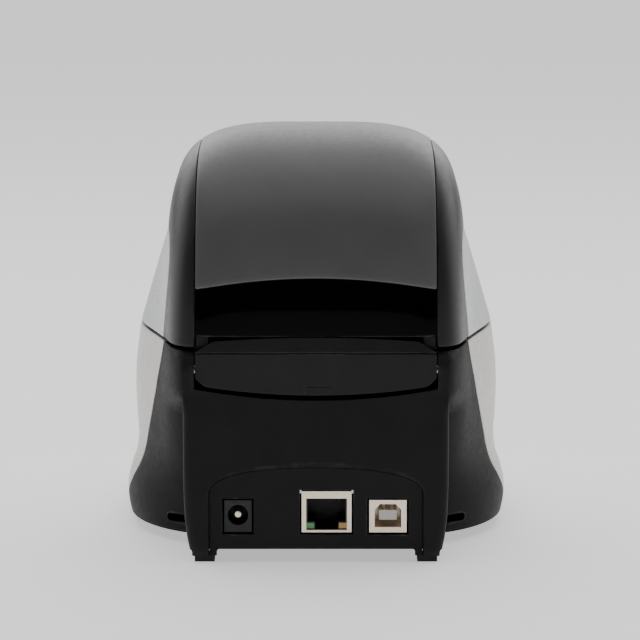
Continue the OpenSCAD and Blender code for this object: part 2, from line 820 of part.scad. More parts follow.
module idler_post() {
    color([0.8, 0.8, 0.82]) rod(idler_post_r, plate_x0, gear_x1 + 0.2, idler_y, idler_z);
}

guide_low = [platen_y + 21.5, platen_z - 3.6];
guide_high = [platen_y + 6.8, platen_z + 3.6];

module label_guide() {
    color([0.2, 0.2, 0.2]) across(-plate_x0, plate_x0) polygon([
        guide_low, guide_high, [guide_high[0], guide_high[1] + 1.2],
        [guide_low[0], guide_low[1] + 1.3]
    ]);
}

sensor_y = guide_low[0] - 7;

module label_sensor() {
    color([0.08, 0.08, 0.1]) across(-5, 5) polygon([
        [sensor_y + 2.5, platen_z - 6], [sensor_y + 2.5, guide_z(sensor_y + 2.5)],
        [sensor_y - 2.5, guide_z(sensor_y - 2.5)], [sensor_y - 2.5, platen_z - 6]
    ]);
}

// Height of the guide's underside
function guide_z(y) =
    guide_low[1] + (guide_high[1] - guide_low[1]) * (guide_low[0] - y)
    / (guide_low[0] - guide_high[0]);

tear_t = 0.8;

module tear_bar() {
    front = body_point(-90, slot_z0)[1];
    color([0.75, 0.75, 0.77]) translate([0, 0, slot_z0]) linear_extrude(tear_t)
        polygon(concat(
            [[31, front + 4.4], [-31, front + 4.4]],
            [for (i = [0 : 30]) each [[-31 + 2 * i, front + 0.9], [-30 + 2 * i, front + 0.1]]],
            [[31, front + 0.9]]
        ));
}

// Straight-flanked gear teeth, narrow enough to run freely
module gear_outline(teeth, turn) {
    pitch_r = gear_m * teeth / 2;
    root_r = pitch_r - 0.9 * gear_m;
    tip_r = pitch_r + 0.65 * gear_m;
    step = 360 / teeth;
    polygon([for (i = [0 : teeth - 1]) each [
        for (p = [[-0.3, root_r], [-0.12, tip_r], [0.12, tip_r], [0.3, root_r]])
            let (a = turn + (i + p[0]) * step) [p[1] * cos(a), p[1] * sin(a)]
    ]]);
}

module gear(teeth, turn, bore_r, y, z) {
    translate([0, y, z]) difference() {
        across(gear_x0, gear_x1) gear_outline(teeth, turn);
        rod(bore_r, gear_x0 - 1, gear_x1 + 1, 0, 0);
    }
}

// Turns that set a tooth of one gear in a gap of the next at rest
to_idler = atan2(idler_z - motor_z, idler_y - motor_y);
to_platen = atan2(platen_z - idler_z, platen_y - idler_y);
pinion_turn = to_idler;
idler_turn = to_idler + 180 + 180 / idler_teeth;
idler_phase = (to_platen - idler_turn) * idler_teeth / 360;
platen_turn = to_platen + 180 + (0.5 + idler_phase) * 360 / platen_teeth;

module motor_pinion() {
    color([0.85, 0.7, 0.35]) {
        gear(pinion_teeth, pinion_turn, motor_shaft_r - 0.1, motor_y, motor_z);
        rod(motor_shaft_r, plate_x0 - motor_len + 4.5, gear_x1, motor_y, motor_z);
    }
}

module idler_gear() {
    color([0.92, 0.92, 0.9]) gear(idler_teeth, idler_turn, idler_post_r + shaft_fit, idler_y,
        idler_z);
}

module platen_gear() {
    color([0.92, 0.92, 0.9]) gear(platen_teeth, platen_turn, shaft_r, platen_y, platen_z);
}

module platen_shaft() {
    color([0.75, 0.76, 0.78]) rod(shaft_r, -plate_x1, gear_x1 + 0.6, platen_y, platen_z);
}

module platen_roller() {
    color([0.1, 0.1, 0.1]) difference() {
        rod(platen_r, -head_half, head_half, platen_y, platen_z);
        rod(shaft_r, -head_half - 2, head_half + 2, platen_y, platen_z);
    }
}

// ---- Print head, hung from two studs behind the platen ----

bracket_half = plate_x0 - 0.6;
bracket_front = platen_y - 4.5;
leg_x0 = plate_x1 + 0.4;
leg_x1 = leg_x0 + 1.2;
leg_z = lever_z + cam_r - cam_shift + 0.4;

module head_bracket() {
    color([0.66, 0.67, 0.7]) difference() {
        union() {
            slab(-bracket_half, bracket_half, bracket_front, pivot_y + 3, bracket_z,
                bracket_z + bracket_t);
            both() slab(bracket_half - 1.2, bracket_half, pivot_y - 3, pivot_y + 3,
                pivot_z - 3, bracket_z + 0.2);
            slab(-leg_x1, -bracket_half + 1, lever_y - 3, lever_y + 1, bracket_z,
                bracket_z + bracket_t);
            slab(-leg_x1, -leg_x0, lever_y - 3, lever_y + 3, leg_z, bracket_z + 0.2);
        }
        both() rod(pivot_r + shaft_fit, bracket_half - 3, bracket_half + 0.3, pivot_y, pivot_z);
        both() slab(6, 24, pivot_y - 2, pivot_y + 4, bracket_z - 1, bracket_z + 2);
    }
}

module heatsink() {
    color([0.8, 0.8, 0.82]) difference() {
        slab(-head_half, head_half, bracket_front, platen_y + 9, head_z + head_t, bracket_z);
        for (i = [-7 : 7]) slab(i * 4 - 0.7, i * 4 + 0.7, platen_y + 4, platen_y + 10,
            head_z + head_t + 0.8, bracket_z + 1);
    }
}

module print_head() {
    color([0.9, 0.89, 0.86])
        slab(-head_half, head_half, bracket_front, platen_y + 5, head_z, head_z + head_t);
}

// Torsion springs on the studs, drawn as ribbed sleeves with a leg each
spring_r0 = pivot_r + 0.4;
spring_r1 = spring_r0 + 0.9;

module head_springs() {
    x1 = bracket_half - 1.2;
    color([0.7, 0.71, 0.74]) both() {
        translate([x1 - 1.1, pivot_y, pivot_z]) rotate([0, 90, 0]) difference() {
            cylinder(r = spring_r1, h = 1.1);
            translate([0, 0, -1]) cylinder(r = spring_r0, h = 4);
        }
        slab(x1 - 1, x1 - 0.2, pivot_y - 2.6, pivot_y - 1.9, pivot_z, bracket_z);
    }
}

// ---- Release lever with its cam under the bracket's leg ----

lever_x0 = plate_x1 + 0.4;
lever_arm_x = bay_half + bay_t + 0.5;
lever_top = seam_z + 7;

module release_lever() {
    color([0.15, 0.35, 0.6]) difference() {
        union() {
            rod(3, -lever_arm_x - 2, -lever_x0, lever_y, lever_z);
            rod(cam_r, -lever_x0 - 1.2, -lever_x0, lever_y, lever_z - cam_shift);
            slab(-lever_arm_x - 2, -lever_arm_x, lever_y - 2, lever_y + 2, lever_z, lever_top);
            rod(2.4, -lever_arm_x - 2, -lever_arm_x + 5, lever_y, lever_top);
        }
        rod(lever_stud_r + shaft_fit, -lever_arm_x - 3, -plate_x1, lever_y, lever_z);
    }
}

// ---- Buttons ----

module button() {
    color([0.2, 0.2, 0.21]) {
        translate([0, 0, -6.4]) cylinder(r = button_r, h = 7.2);
        translate([0, 0, -6.4]) cylinder(r = button_r + 1, h = 1.2);
        translate([0, 0, -7.4]) cylinder(r = 1.5, h = 1.2);
    }
}

module feed_button() {
    at_button(button_pitch / 2) button();
}

module eject_button() {
    at_button(-button_pitch / 2) button();
}

module button_board() {
    color([0.05, 0.32, 0.16]) at_button(0) translate([-26, -7, -13.4]) cube([52, 14, 1.4]);
}

module button_switches() {
    color([0.15, 0.15, 0.16]) for (x = [-button_pitch / 2, button_pitch / 2])
        at_button(x) {
            translate([-3, -3, -12]) cube([6, 6, 3.2]);
            translate([0, 0, -9]) cylinder(r = 1.6, h = 1.6 - button_travel - 0.3);
        }
}

module light_pipe() {
    color([0.85, 0.9, 0.95]) at_button(0) translate([0, 0, -12]) cylinder(r = 1.5, h = 12.1);
}

// ---- Lid ----

flap_half = strip_half - 0.7;
flap_y = rear_y - 3.6;

module lid_shell() {
    color([0.13, 0.13, 0.13]) difference() {
        intersection() {
            lid_loft(0);
            slab(-90, 90, -body_d, body_d, lid_z0, body_h + 9);
        }
        lid_loft(wall);
        intersection() {
            difference() {
                lid_loft(-1);
                lid_loft(skin_t + 0.1);
            }
            union() {
                strip_region(0);
                window_region(0);
                both() wing_region(0);
            }
        }
        // Behind the window, and where the hinge cover passes
        slab(-strip_half + 5, strip_half - 5, rear_cut_y, rear_y, flap_top_z + 3.3, arch_z + 194);
        slab(-strip_half, strip_half, rear_cut_y, rear_y, 0, flap_top_z + 0.2);
    }
}

module lid_strip() {
    color([0.19, 0.19, 0.2]) intersection() {
        difference() {
            lid_loft(0);
            lid_loft(skin_t);
        }
        strip_region(skin_gap);
        slab(-90, 90, -body_d, body_d, lid_z0, body_h + 9);
    }
}

module lid_window() {
    color([0.02, 0.02, 0.02]) intersection() {
        difference() {
            lid_loft(skin_t - window_t);
            lid_loft(skin_t);
        }
        window_region(skin_gap);
    }
}

module lid_flap() {
    color([0.15, 0.15, 0.15]) difference() {
        intersection() {
            across(-flap_half, flap_half) polygon([
                [flap_y, flap_low_z - 1], [flap_y - 0.1, 60], [flap_y - 0.9, 67],
                [flap_y - 2.1, flap_top_z], [flap_y - 2.1 - flap_t, flap_top_z],
                [flap_y - 0.9 - flap_t, 67], [flap_y - 0.9 - flap_t, flap_low_z - 1]
            ]);
            peg(250, rear_cut_y, rear_y + 5, 0, flap_low_z + 250, $fn = 200);
        }
        both() translate([flap_half, rear_cut_y, flap_top_z]) rotate([0, 45, 0])
            cube([5, 90, 5], center = true);
    }
}

module wing(side) {
    intersection() {
        difference() {
            lid_loft(0);
            lid_loft(skin_t);
        }
        mirror([side, 0, 0]) wing_region(skin_gap);
        slab(-90, 90, -body_d, body_d, lid_z0, body_h);
    }
}

module wing_right() {
    color([0.74, 0.75, 0.76]) wing(0);
}

module wing_left() {
    color([0.74, 0.75, 0.76]) wing(1);
}

// Two plates that hang from the lid, each with a slot open to the front
module spool_cradle() {
    slot_r = journal_r + 0.3;
    color([0.15, 0.15, 0.15]) both() intersection() {
        difference() {
            across(arm_x0, arm_x1) {
                polygon([[spool_y - 14, body_h], [spool_y - arm_r + 0.6, spool_z - 1],
                    [spool_y + arm_r - 0.6, spool_z - 1], [spool_y + 16, body_h]]);
                translate([spool_y, spool_z]) circle(r = arm_r);
            }
            rod(slot_r, arm_x0 - 1, arm_x1 + 1, spool_y, spool_z);
            translate([0, spool_y, spool_z]) rotate([-15, 0, 0])
                slab(arm_x0 - 1, arm_x1 + 1, -20, 0, 0.15 - slot_r, slot_r - 0.15);
        }
        lid_loft(wall + 0.05);
    }
}

module hinge_arms() {
    x0 = strip_half - 4.6;
    back = flap_y - 0.95 - flap_t;
    color([0.14, 0.14, 0.14]) both() difference() {
        union() {
            across(x0, flap_half) {
                intersection() {
                    translate([hinge_y, hinge_z]) circle(r = 3.4);
                    translate([hinge_y - 4, hinge_z - 4]) square([back - hinge_y + 4, 8]);
                }
                polygon([[hinge_y - 3, hinge_z], [back, hinge_z - 2], [back, 67],
                    [back - 1.2, flap_top_z], [hinge_y - 6, flap_top_z + 1]]);
            }
            intersection() {
                slab(x0, flap_half, hinge_y - 6, rear_y, flap_top_z - 1, 80);
                lid_loft(wall + 0.15);
            }
        }
        rod(hinge_r, x0 - 1, flap_half + 1, hinge_y, hinge_z);
    }
}

module hinge_pins() {
    color([0.75, 0.76, 0.78]) both()
        rod(hinge_r, strip_half - 4.6, block_half - 1.3, hinge_y, hinge_z);
}

// ---- Spool ----

// Windows that lighten an end disc
module disc_windows(x0, x1) {
    for (a = [0 : 120 : 240]) translate([0, spool_y, spool_z]) rotate([a, 0, 0])
        rod(5.5, x0 - 1, x1 + 1, (disc_d / 2 + spindle_r) / 2, 0);
}

module spool_spindle() {
    color([0.2, 0.2, 0.2]) difference() {
        union() {
            rod(spindle_r, -disc_x0, disc_x0 + 0.5, spool_y, spool_z);
            rod(disc_d / 2, disc_x0, disc_x0 + disc_t, spool_y, spool_z);
            rod(journal_r, disc_x0, arm_x1, spool_y, spool_z);
            rod(journal_r, -arm_x1, -disc_x0 + 1, spool_y, spool_z);
        }
        rod(spindle_r - 2, -disc_x0 + 2, disc_x0 - 1, spool_y, spool_z);
        disc_windows(disc_x0, disc_x0 + disc_t);
    }
}

module spool_guide() {
    x1 = -disc_x0 + 0.4;
    color([0.2, 0.2, 0.2]) difference() {
        rod(disc_d / 2, x1 - disc_t, x1, spool_y, spool_z);
        rod(spindle_r + 0.08, x1 - disc_t - 1, x1 + 1, spool_y, spool_z);
        disc_windows(x1 - disc_t, x1);
    }
}

base_plate();
rubber_feet();
case_screws();
body_housing();
rear_block();
port_panel();
side_panel_left();
side_panel_right();
front_panel();
inner_deck();
roll_well();
main_board();
board_chips();
power_jack();
power_pin();
network_shell();
network_insert();
network_contacts();
green_led();
amber_led();
usb_shell();
usb_tongue();
usb_contacts();
engine_frame();
platen_bushes();
stepper_motor();
idler_post();
label_guide();
label_sensor();
tear_bar();
button_board();
button_switches();
light_pipe();
lid_shell();
lid_strip();
lid_window();
lid_flap();
wing_left();
wing_right();
spool_cradle();
hinge_arms();
hinge_pins();
spool_spindle();
spool_guide();
platen_shaft();
platen_roller();
platen_gear();
idler_gear();
motor_pinion();
head_bracket();
heatsink();
print_head();
head_springs();
release_lever();
feed_button();
eject_button();
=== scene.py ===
# %% [markdown]
# # A desktop label printer seen from behind
# This lesson dresses a finished CAD model. The CAD part gives exact sizes and moving bodies.
# Blender adds the smooth mouldings, their rounded rims, and the materials.
# We start by loading the frame.

import json
import math
from functools import partial

import bpy
import numpy as np
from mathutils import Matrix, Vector


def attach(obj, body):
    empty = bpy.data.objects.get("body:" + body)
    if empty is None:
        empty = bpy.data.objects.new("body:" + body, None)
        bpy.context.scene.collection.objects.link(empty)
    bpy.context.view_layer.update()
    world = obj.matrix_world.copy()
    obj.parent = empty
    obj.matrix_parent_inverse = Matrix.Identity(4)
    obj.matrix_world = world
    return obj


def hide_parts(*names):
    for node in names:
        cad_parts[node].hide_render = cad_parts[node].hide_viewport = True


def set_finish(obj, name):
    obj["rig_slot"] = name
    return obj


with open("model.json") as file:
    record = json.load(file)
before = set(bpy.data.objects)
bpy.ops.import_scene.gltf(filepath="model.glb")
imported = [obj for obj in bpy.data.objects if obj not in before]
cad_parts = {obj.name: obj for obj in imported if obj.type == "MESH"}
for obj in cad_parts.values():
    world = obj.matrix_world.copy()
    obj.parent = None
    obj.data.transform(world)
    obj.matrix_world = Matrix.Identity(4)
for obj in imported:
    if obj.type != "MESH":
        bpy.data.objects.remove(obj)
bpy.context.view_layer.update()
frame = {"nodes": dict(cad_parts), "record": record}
nodes = frame["nodes"]
MM = 0.001

# %% [markdown]
# ## The shape of the lid
# The lid is a superellipse in plan that shrinks toward its crown, and its sides flare out under the wings.
# `lid_x` and `lid_hit` answer two questions: how wide is the lid at a given y and z,
# and where does a ray from inside leave it?
# Everything here is in millimetres, on arrays of many points at once.

# %% The lid as a formula
CROWN_Y, SEAM_Z, TOP_Z = 10.0, 68.0, 133.0
HALF, BACK, FORE = 48.8, 78.5, 63.5
FLARE, FLARE_RISE, FLARE_Y, FLARE_BACK, FLARE_FORE = 9.6, 33, 20, 55, 74
HUB = np.array([0, CROWN_Y, 60.0])


def ease(t):
    t = np.clip(t, 0, 1)
    return t * t * (3 - 2 * t)


def bell(y):
    """The share of the flare that is left at y."""
    rear, front = ease((y - FLARE_Y) / FLARE_BACK), ease((FLARE_Y - y) / FLARE_FORE)
    return np.where(y > FLARE_Y, 1 - rear, 1 - 0.8 * front)


def flare(y, z):
    """How far the lid's side stands out past its plain width."""
    return FLARE * np.clip(1 - np.maximum(z - SEAM_Z, 0) / FLARE_RISE, 0, 1) * bell(y)


def taper(u, n, m):
    return np.maximum(1 - u**n, 1e-12) ** (1 / m)


def plain_half(u):
    """Half width without the flare, at the share u of the lid's height."""
    return HALF * taper(u, 6, 3.2)


def reach(u, rear):
    """How far the lid reaches back, or forward, from the crown line."""
    return np.where(rear, BACK * taper(u, 2.8, 2.8), FORE * taper(u, 2, 2))


def boxiness(u):
    """The power of the plan: nearly a rectangle at the seam, rounder at the crown."""
    return 8 - 4 * u


def lid_share(z):
    return np.clip((z - SEAM_Z) / (TOP_Z - SEAM_Z), 0, 1)


def lid_shares(x, y, z):
    """How far each point is out toward the lid's side and toward its end, each 1 at the full size."""
    u = lid_share(z)
    wide, out = plain_half(u), flare(y, z)
    across = np.abs(x) / (wide + out)
    for _ in range(8):
        across = across - (across * wide + out * across**3 - np.abs(x)) / (wide + 3 * out * across**2)
    return across, np.abs(y - CROWN_Y) / reach(u, y > CROWN_Y), boxiness(u), wide, out


def lid_outside(p):
    across, along, q, _, _ = lid_shares(p[..., 0], p[..., 1], p[..., 2])
    return (np.minimum(across, 9) ** q + np.minimum(along, 9) ** q > 1) | (p[..., 2] > TOP_Z)


def last_before(past, shape, end):
    """Halves the range from 0 to end again and again, and gives the last values that are not yet past."""
    low, high = np.zeros(shape), np.full(shape, float(end))
    for _ in range(40):
        mid = (low + high) / 2
        gone = past(mid)
        low, high = np.where(gone, low, mid), np.where(gone, mid, high)
    return low


def lid_hit(start, toward):
    """The point where the line from start through toward leaves the lid."""
    start, toward = np.broadcast_arrays(np.asarray(start, float), np.asarray(toward, float))
    step = toward - start
    step = step / np.linalg.norm(step, axis=-1, keepdims=True)
    run = last_before(lambda t: lid_outside(start + step * t[..., None]), step.shape[:-1], 150)
    return start + step * run[..., None]


def lid_x(y, z):
    """Half width of the lid at a point of its side view."""
    _, along, q, wide, out = lid_shares(np.zeros_like(y), y, z)
    across = np.maximum(1 - np.minimum(along, 1) ** q, 0) ** (1 / q)
    return across * wide + out * across**3


def lid_y(x, z, rear=True):
    """The lid's y at a point of its rear view, or of its front view."""
    y = np.full(np.broadcast(x, z).shape, 80.0 if rear else -50.0)  # a first guess
    for _ in range(12):
        across, _, q, _, _ = lid_shares(x, y, z)
        along = np.maximum(1 - np.minimum(across, 1) ** q, 0) ** (1 / q)
        y = CROWN_Y + along * reach(lid_share(z), rear) * (1 if rear else -1)
    return y


print("lid half width at the seam:", round(float(lid_x(np.array(10.0), np.array(68.5))), 2), "mm")

# %% [markdown]
# ## The shape of the body
# The body blends from the lid's outline at the parting line to a longer, rounder toe at the floor.
# The two short tables give its width and how far the blend has gone. They are smoothed, so no crease is seen.

# %% The body as a formula
WIDTHS = [(2, 62), (7, 63.2), (11, 63.5), (14, 63.3), (18, 62.2), (21, 61), (25, 60), (30, 59.6),
          (38, 60.1), (46, 60.4), (54, 60.2), (61, 59.3), (68, 58.4), (76, 57.5)]
CHANGE = [(2, 0.96), (8, 1), (15, 0.95), (28, 0.7), (45, 0.33), (58, 0.1), (68, 0), (76, 0)]
TOE_HALF, TOE_BACK, TOE_FORE = 63.5, 62.0, 103.5


def smooth_table(rows, blur):
    """The table as a fine curve, blurred so that its corners are round."""
    fine = np.arange(-10, 90, 0.1)
    values = np.interp(fine, *zip(*rows))
    weight = np.exp(-0.5 * (np.arange(-60, 61) * 0.1 / blur) ** 2)
    padded = np.pad(values, 60, mode="edge")
    return fine, np.convolve(padded, weight / weight.sum(), mode="valid")


WIDTH_CURVE, CHANGE_CURVE = smooth_table(WIDTHS, 1.3), smooth_table(CHANGE, 1.6)


def body_quarter(a, z, rear):
    """Half width, and distance from the crown line, of the body at plan angle a (0 to 90 degrees)."""
    t = np.interp(z, *CHANGE_CURVE)
    c, s = np.cos(a), np.sin(a)
    boxy, rounder = (c**8 + s**8) ** (-1 / 8), (c**2.5 + s**2.5) ** (-1 / 2.5)
    top_y = np.where(rear, BACK, FORE) * boxy * s
    low_y = np.where(rear, TOE_BACK, TOE_FORE) * rounder * s
    side = np.where(rear, 1.0, -1.0)
    top_x = HALF * boxy * c + FLARE * bell(CROWN_Y + side * top_y) * (boxy * c) ** 3
    x = top_x * (1 - t) + TOE_HALF * rounder * c * t
    full = (HALF + FLARE) * (1 - t) + TOE_HALF * t
    return x * np.interp(z, *WIDTH_CURVE) / full, top_y * (1 - t) + low_y * t


def body_find(past, z, rear):
    """The body point on the +X side at the last plan angle that is not yet past."""
    a = last_before(lambda a: past(*body_quarter(a, z, rear)), z.shape, math.pi / 2)
    x, y = body_quarter(a, z, rear)
    return np.stack([x, CROWN_Y + np.where(rear, y, -y), z], -1)


def body_at(turn, z):
    """The body point at a full plan angle about the crown line, on either side, at height z."""
    turn, z = np.broadcast_arrays(np.asarray(turn, float), np.asarray(z, float))
    c, s = np.cos(turn), np.sin(turn)
    point = body_find(lambda x, y: y * np.abs(c) > x * np.abs(s), z, s > 0)
    point[..., 0] *= np.sign(c)
    return point


def body_slide(axis, value, z, rear):
    """The body point with the given x ("x"), or with the given y ("y"), at height z on the +X side."""
    value, z = np.broadcast_arrays(np.asarray(value, float), np.asarray(z, float))
    if axis == "x":
        return body_find(lambda x, y: x < value, z, rear)
    return body_find(lambda x, y: y > np.abs(value - CROWN_Y), z, rear)


def side_point(y, z):
    """Body point on the +X side, from its side view."""
    y, z = np.broadcast_arrays(np.asarray(y, float), np.asarray(z, float))
    return np.where((y > CROWN_Y)[..., None], body_slide("y", y, z, True), body_slide("y", y, z, False))


def front_point(x, z):
    """Body point on the front, from its front view."""
    point = body_slide("x", np.abs(x), z, False)
    point[..., 0] *= np.where(x < 0, -1.0, 1.0)
    return point


print("body half width at the skirt:", round(float(body_slide("y", 10.0, 11.0, True)[0]), 2), "mm")

# %% [markdown]
# ## From a grid to a skin
# Each outer moulding starts as a flat grid. We lay the grid on the surface by moving its vertices.
# Solidify then gives it a wall, and Bevel rounds the rim, so the seams catch the light.

# %% Grid, wall and rim
RIM_STEPS, RIM_ANGLE, SMOOTH_ANGLE = 3, 50, math.radians(40)


def pick(piece):
    """Selects this piece alone and makes it the active one."""
    bpy.ops.object.select_all(action="DESELECT")
    bpy.context.view_layer.objects.active = piece
    piece.select_set(True)


def make_grid(name, points):
    """A grid object with one vertex for each of the points, an array of rows, columns and x, y, z in mm."""
    rows, columns = points.shape[:2]
    bpy.ops.object.select_all(action="DESELECT")
    bpy.ops.mesh.primitive_grid_add(x_subdivisions=columns - 1, y_subdivisions=rows - 1, size=1)
    grid = bpy.context.object
    grid.name = grid.data.name = name
    grid.data.vertices.foreach_set("co", (points * MM).astype(np.float32).ravel())
    grid.data.update()
    return grid


def side_grid(name, points, side):
    """A grid of the +X side's points, or their mirror image where side is -1."""
    return make_grid(name, points if side > 0 else points * np.array([-1.0, 1, 1]))


def face_out(grid, centre):
    """Turns the grid's faces so that they look away from the centre."""
    pick(grid)
    middle = grid.data.polygons[len(grid.data.polygons) // 2]
    if middle.normal.dot(middle.center - Vector(centre) * MM) < 0:
        bpy.ops.object.mode_set(mode="EDIT")
        bpy.ops.mesh.select_all(action="SELECT")
        bpy.ops.mesh.flip_normals()
        bpy.ops.object.mode_set(mode="OBJECT")


def apply(piece, kind, **settings):
    """Adds one modifier and applies it."""
    pick(piece)
    modifier = piece.modifiers.new(kind.title(), kind)
    for key, value in settings.items():
        setattr(modifier, key, value)
    bpy.ops.object.modifier_apply(modifier=modifier.name)


def round_edges(piece, width, segments, angle):
    """Bevels the edges where the surface turns by more than the angle, in degrees."""
    apply(piece, "BEVEL", width=width * MM, segments=segments, limit_method="ANGLE",
          angle_limit=math.radians(angle))


def thicken(grid, wall, rim, centre=HUB, weld=0.02):
    """Turns a laid grid into a closed wall that grows inward. Its rim is rounded unless rim is 0."""
    apply(grid, "WELD", merge_threshold=weld * MM)
    face_out(grid, centre)
    apply(grid, "SOLIDIFY", thickness=wall * MM, offset=-1)
    if rim:
        round_edges(grid, rim, RIM_STEPS, RIM_ANGLE)
    bpy.ops.object.shade_smooth_by_angle(angle=SMOOTH_ANGLE)
    return grid


def join(name, parts):
    """Joins closed parts of one moulding into one object."""
    bpy.ops.object.select_all(action="DESELECT")
    for part in parts:
        part.select_set(True)
    bpy.context.view_layer.objects.active = parts[0]
    bpy.ops.object.join()
    parts[0].name = parts[0].data.name = name
    return parts[0]


def finish_piece(piece, body, slot, *stands_for):
    """Ties the piece to its moving body and its material slot, and hides the CAD nodes that it stands for."""
    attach(piece, body)
    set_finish(piece, slot)
    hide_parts(*stands_for)
    low, high = (Vector(c) for c in (piece.bound_box[0], piece.bound_box[6]))
    print(f"{piece.name}: {len(piece.data.polygons)} faces, {[round(v * 1000, 1) for v in high - low]} mm")
    return piece


# %% [markdown]
# ## Curves and patches
# An outline is drawn with a few points, and its corners are cut round.
# A grid that fills four such edges is a Coons patch.
# It blends both pairs of edges, then takes off the blend of the corners, which is counted twice.

# %% Spread, round and fill
def spread(curve, count):
    """The curve with count points, evenly spaced along its length."""
    curve = np.asarray(curve, float)
    run = np.concatenate([[0], np.cumsum(np.linalg.norm(np.diff(curve, axis=0), axis=1))])
    at = np.linspace(0, run[-1], count)
    return np.stack([np.interp(at, run, curve[:, k]) for k in range(curve.shape[1])], 1)


def round_corners(curve, times=3):
    """Cuts every inner corner of the curve again and again, and keeps both ends."""
    curve = np.asarray(curve, float)
    for _ in range(times):
        cuts = np.stack([0.75 * curve[:-1] + 0.25 * curve[1:], 0.25 * curve[:-1] + 0.75 * curve[1:]], 1)
        curve = np.concatenate([curve[:1], cuts.reshape(-1, curve.shape[1]), curve[-1:]])
    return curve


def side_curve(points, first, last):
    """Splits a rounded outline of 400 points into its rear edge, its long edge and its front edge."""
    curve = spread(round_corners(points), 400)
    return curve[: first + 1], curve[first : last + 1], curve[last:]


def patch(low, high, left, right):
    """Fills four edges with a smooth grid. Low and high run left to right."""
    s, t = np.linspace(0, 1, len(low))[None, :, None], np.linspace(0, 1, len(left))[:, None, None]
    across = (1 - t) * low[None] + t * high[None]
    along = (1 - s) * left[:, None] + s * right[:, None]
    corners = ((1 - t) * ((1 - s) * low[0] + s * low[-1]) + t * ((1 - s) * high[0] + s * high[-1]))
    return across + along - corners


def draw_in(flat, middle, inset):
    """Moves each point of a side view straight toward the middle by the inset."""
    out = flat - np.array(middle)
    return np.array(middle) + out * (1 - inset / np.linalg.norm(out, axis=-1, keepdims=True))


# %% [markdown]
# ## The centre strip
# A dark strip runs from the front seam over the crown and ends in an arched rear edge.
# Its columns keep one x each. Its rows fan round a point inside the lid, and each ray stops at the surface.

# %% Model the centre strip
GAP, SKIN, RIM, LID_EDGE = 0.3, 1.4, 0.4, 68.6
STRIP_HALF, STRIP_RIM, BOW_Z, BOW_R = 38.9, 0.45, -109.4, 200.0
STRIP_X = np.linspace(-STRIP_HALF + GAP, STRIP_HALF - GAP, 41)


def bow_top(x, radius):
    """Height of the arched edge between the strip and the window."""
    return BOW_Z + np.sqrt(radius**2 - x**2)


def over_the_top(x, z_rear, rows):
    """Points of the lid at each x, from height z_rear at the back over the crown to the front seam."""
    y_rear, y_front = lid_y(x, z_rear), lid_y(x, np.full_like(x, LID_EDGE), rear=False)
    start = np.arctan2(z_rear - HUB[2], y_rear - CROWN_Y)
    end = np.arctan2(LID_EDGE - HUB[2], y_front - CROWN_Y)
    turn = start + (end - start) * np.linspace(0, 1, rows)[:, None]
    origin = np.broadcast_to(x, turn.shape)[..., None] * [1, 0, 0] + HUB
    return lid_hit(origin, origin + np.stack([np.zeros_like(turn), np.cos(turn), np.sin(turn)], -1))


def model_lid_strip():
    strip = make_grid("centre_strip", over_the_top(STRIP_X, bow_top(STRIP_X, BOW_R + GAP), 121))
    return finish_piece(thicken(strip, SKIN, STRIP_RIM), "lid", "grey_strip", "lid_strip")


strip = model_lid_strip()

# %% [markdown]
# ## The smoked window
# The window fills the band between the strip and the hinge cover.
# It is a thin gloss moulding, set a little back. It is opaque, and its near-black colour is partly the smoked
# tint and partly painted shade of the dark inside behind it.

# %% Model the window
WINDOW_LOW, WINDOW_DEPTH, WINDOW_WALL, WINDOW_RIM = 72.5, 0.5, 0.9, 0.2


# The window is opaque: its near-black colour is the smoked tint plus painted shade of the dark inside behind
# it.
def model_window():
    s = np.linspace(0, 1, 25)[:, None]
    z = WINDOW_LOW * (1 - s) + bow_top(STRIP_X, BOW_R - GAP) * s
    x = np.broadcast_to(STRIP_X, z.shape)
    window = make_grid("smoked_window", np.stack([x, lid_y(x, z) - WINDOW_DEPTH, z], -1))
    return finish_piece(thicken(window, WINDOW_WALL, WINDOW_RIM), "lid", "smoked_window", "lid_window")


window = model_window()

# %% [markdown]
# ## The silver wings
# A wing is a silver panel on the lid's side. Its outline is drawn in side view, with the corners cut round.
# A four-edged patch fills the outline, and `lid_x` lays it on the lid.

# %% Model the wings
WING = [(63.5, 68.5), (64.4, 74), (66.8, 81), (69.3, 90), (68.5, 97), (62, 102), (50, 103), (18, 102),
        (-12, 99), (-30, 89), (-40, 77), (-43, 68.5)]
WING_CORNERS, WING_MIDDLE = (80, 300), (16.0, LID_EDGE)


def wing_points(inset):
    """Points of the +X wing, drawn in from its outline by the inset. Rows run from the seam up."""
    rear, top, front = side_curve(WING, *WING_CORNERS)
    rear, top, front = spread(rear, 25), spread(top, 81), spread(front, 25)[::-1]
    low = np.stack([np.linspace(rear[0, 0], front[0, 0], 81), np.full(81, LID_EDGE)], 1)
    flat = draw_in(patch(low, top, rear, front), WING_MIDDLE, inset)
    return np.stack([lid_x(flat[..., 0], flat[..., 1]), flat[..., 0], flat[..., 1]], -1)


def model_silver_pair(node, points, body, slot):
    """One silver panel for each side, from the points of the +X one."""
    pair = []
    for side, hand in ((1, "right"), (-1, "left")):
        panel = thicken(side_grid(f"silver_{node}_{hand}", points, side), SKIN, RIM)
        pair.append(finish_piece(panel, body, slot, f"{node}_{hand}"))
    return pair


wings = model_silver_pair("wing", wing_points(GAP), "lid", "silver_wing")

# %% [markdown]
# ## The black lid between the silver and the grey
# The lid shell shows between the strip and each wing. That land is one long patch between two curves:
# the strip's edge, and the wing's outline with the seam before and after it.
# The surface bends two ways there, so a patch of straight x, y and z would bulge near the corners.
# We fill a chart of two angles instead, turn and lean, and shoot each of its rays out to the surface.

# %% Lay the land
def plan_turn(points):
    """Plan angle of each point about the crown line."""
    return np.arctan2(points[..., 1] - CROWN_Y, points[..., 0])


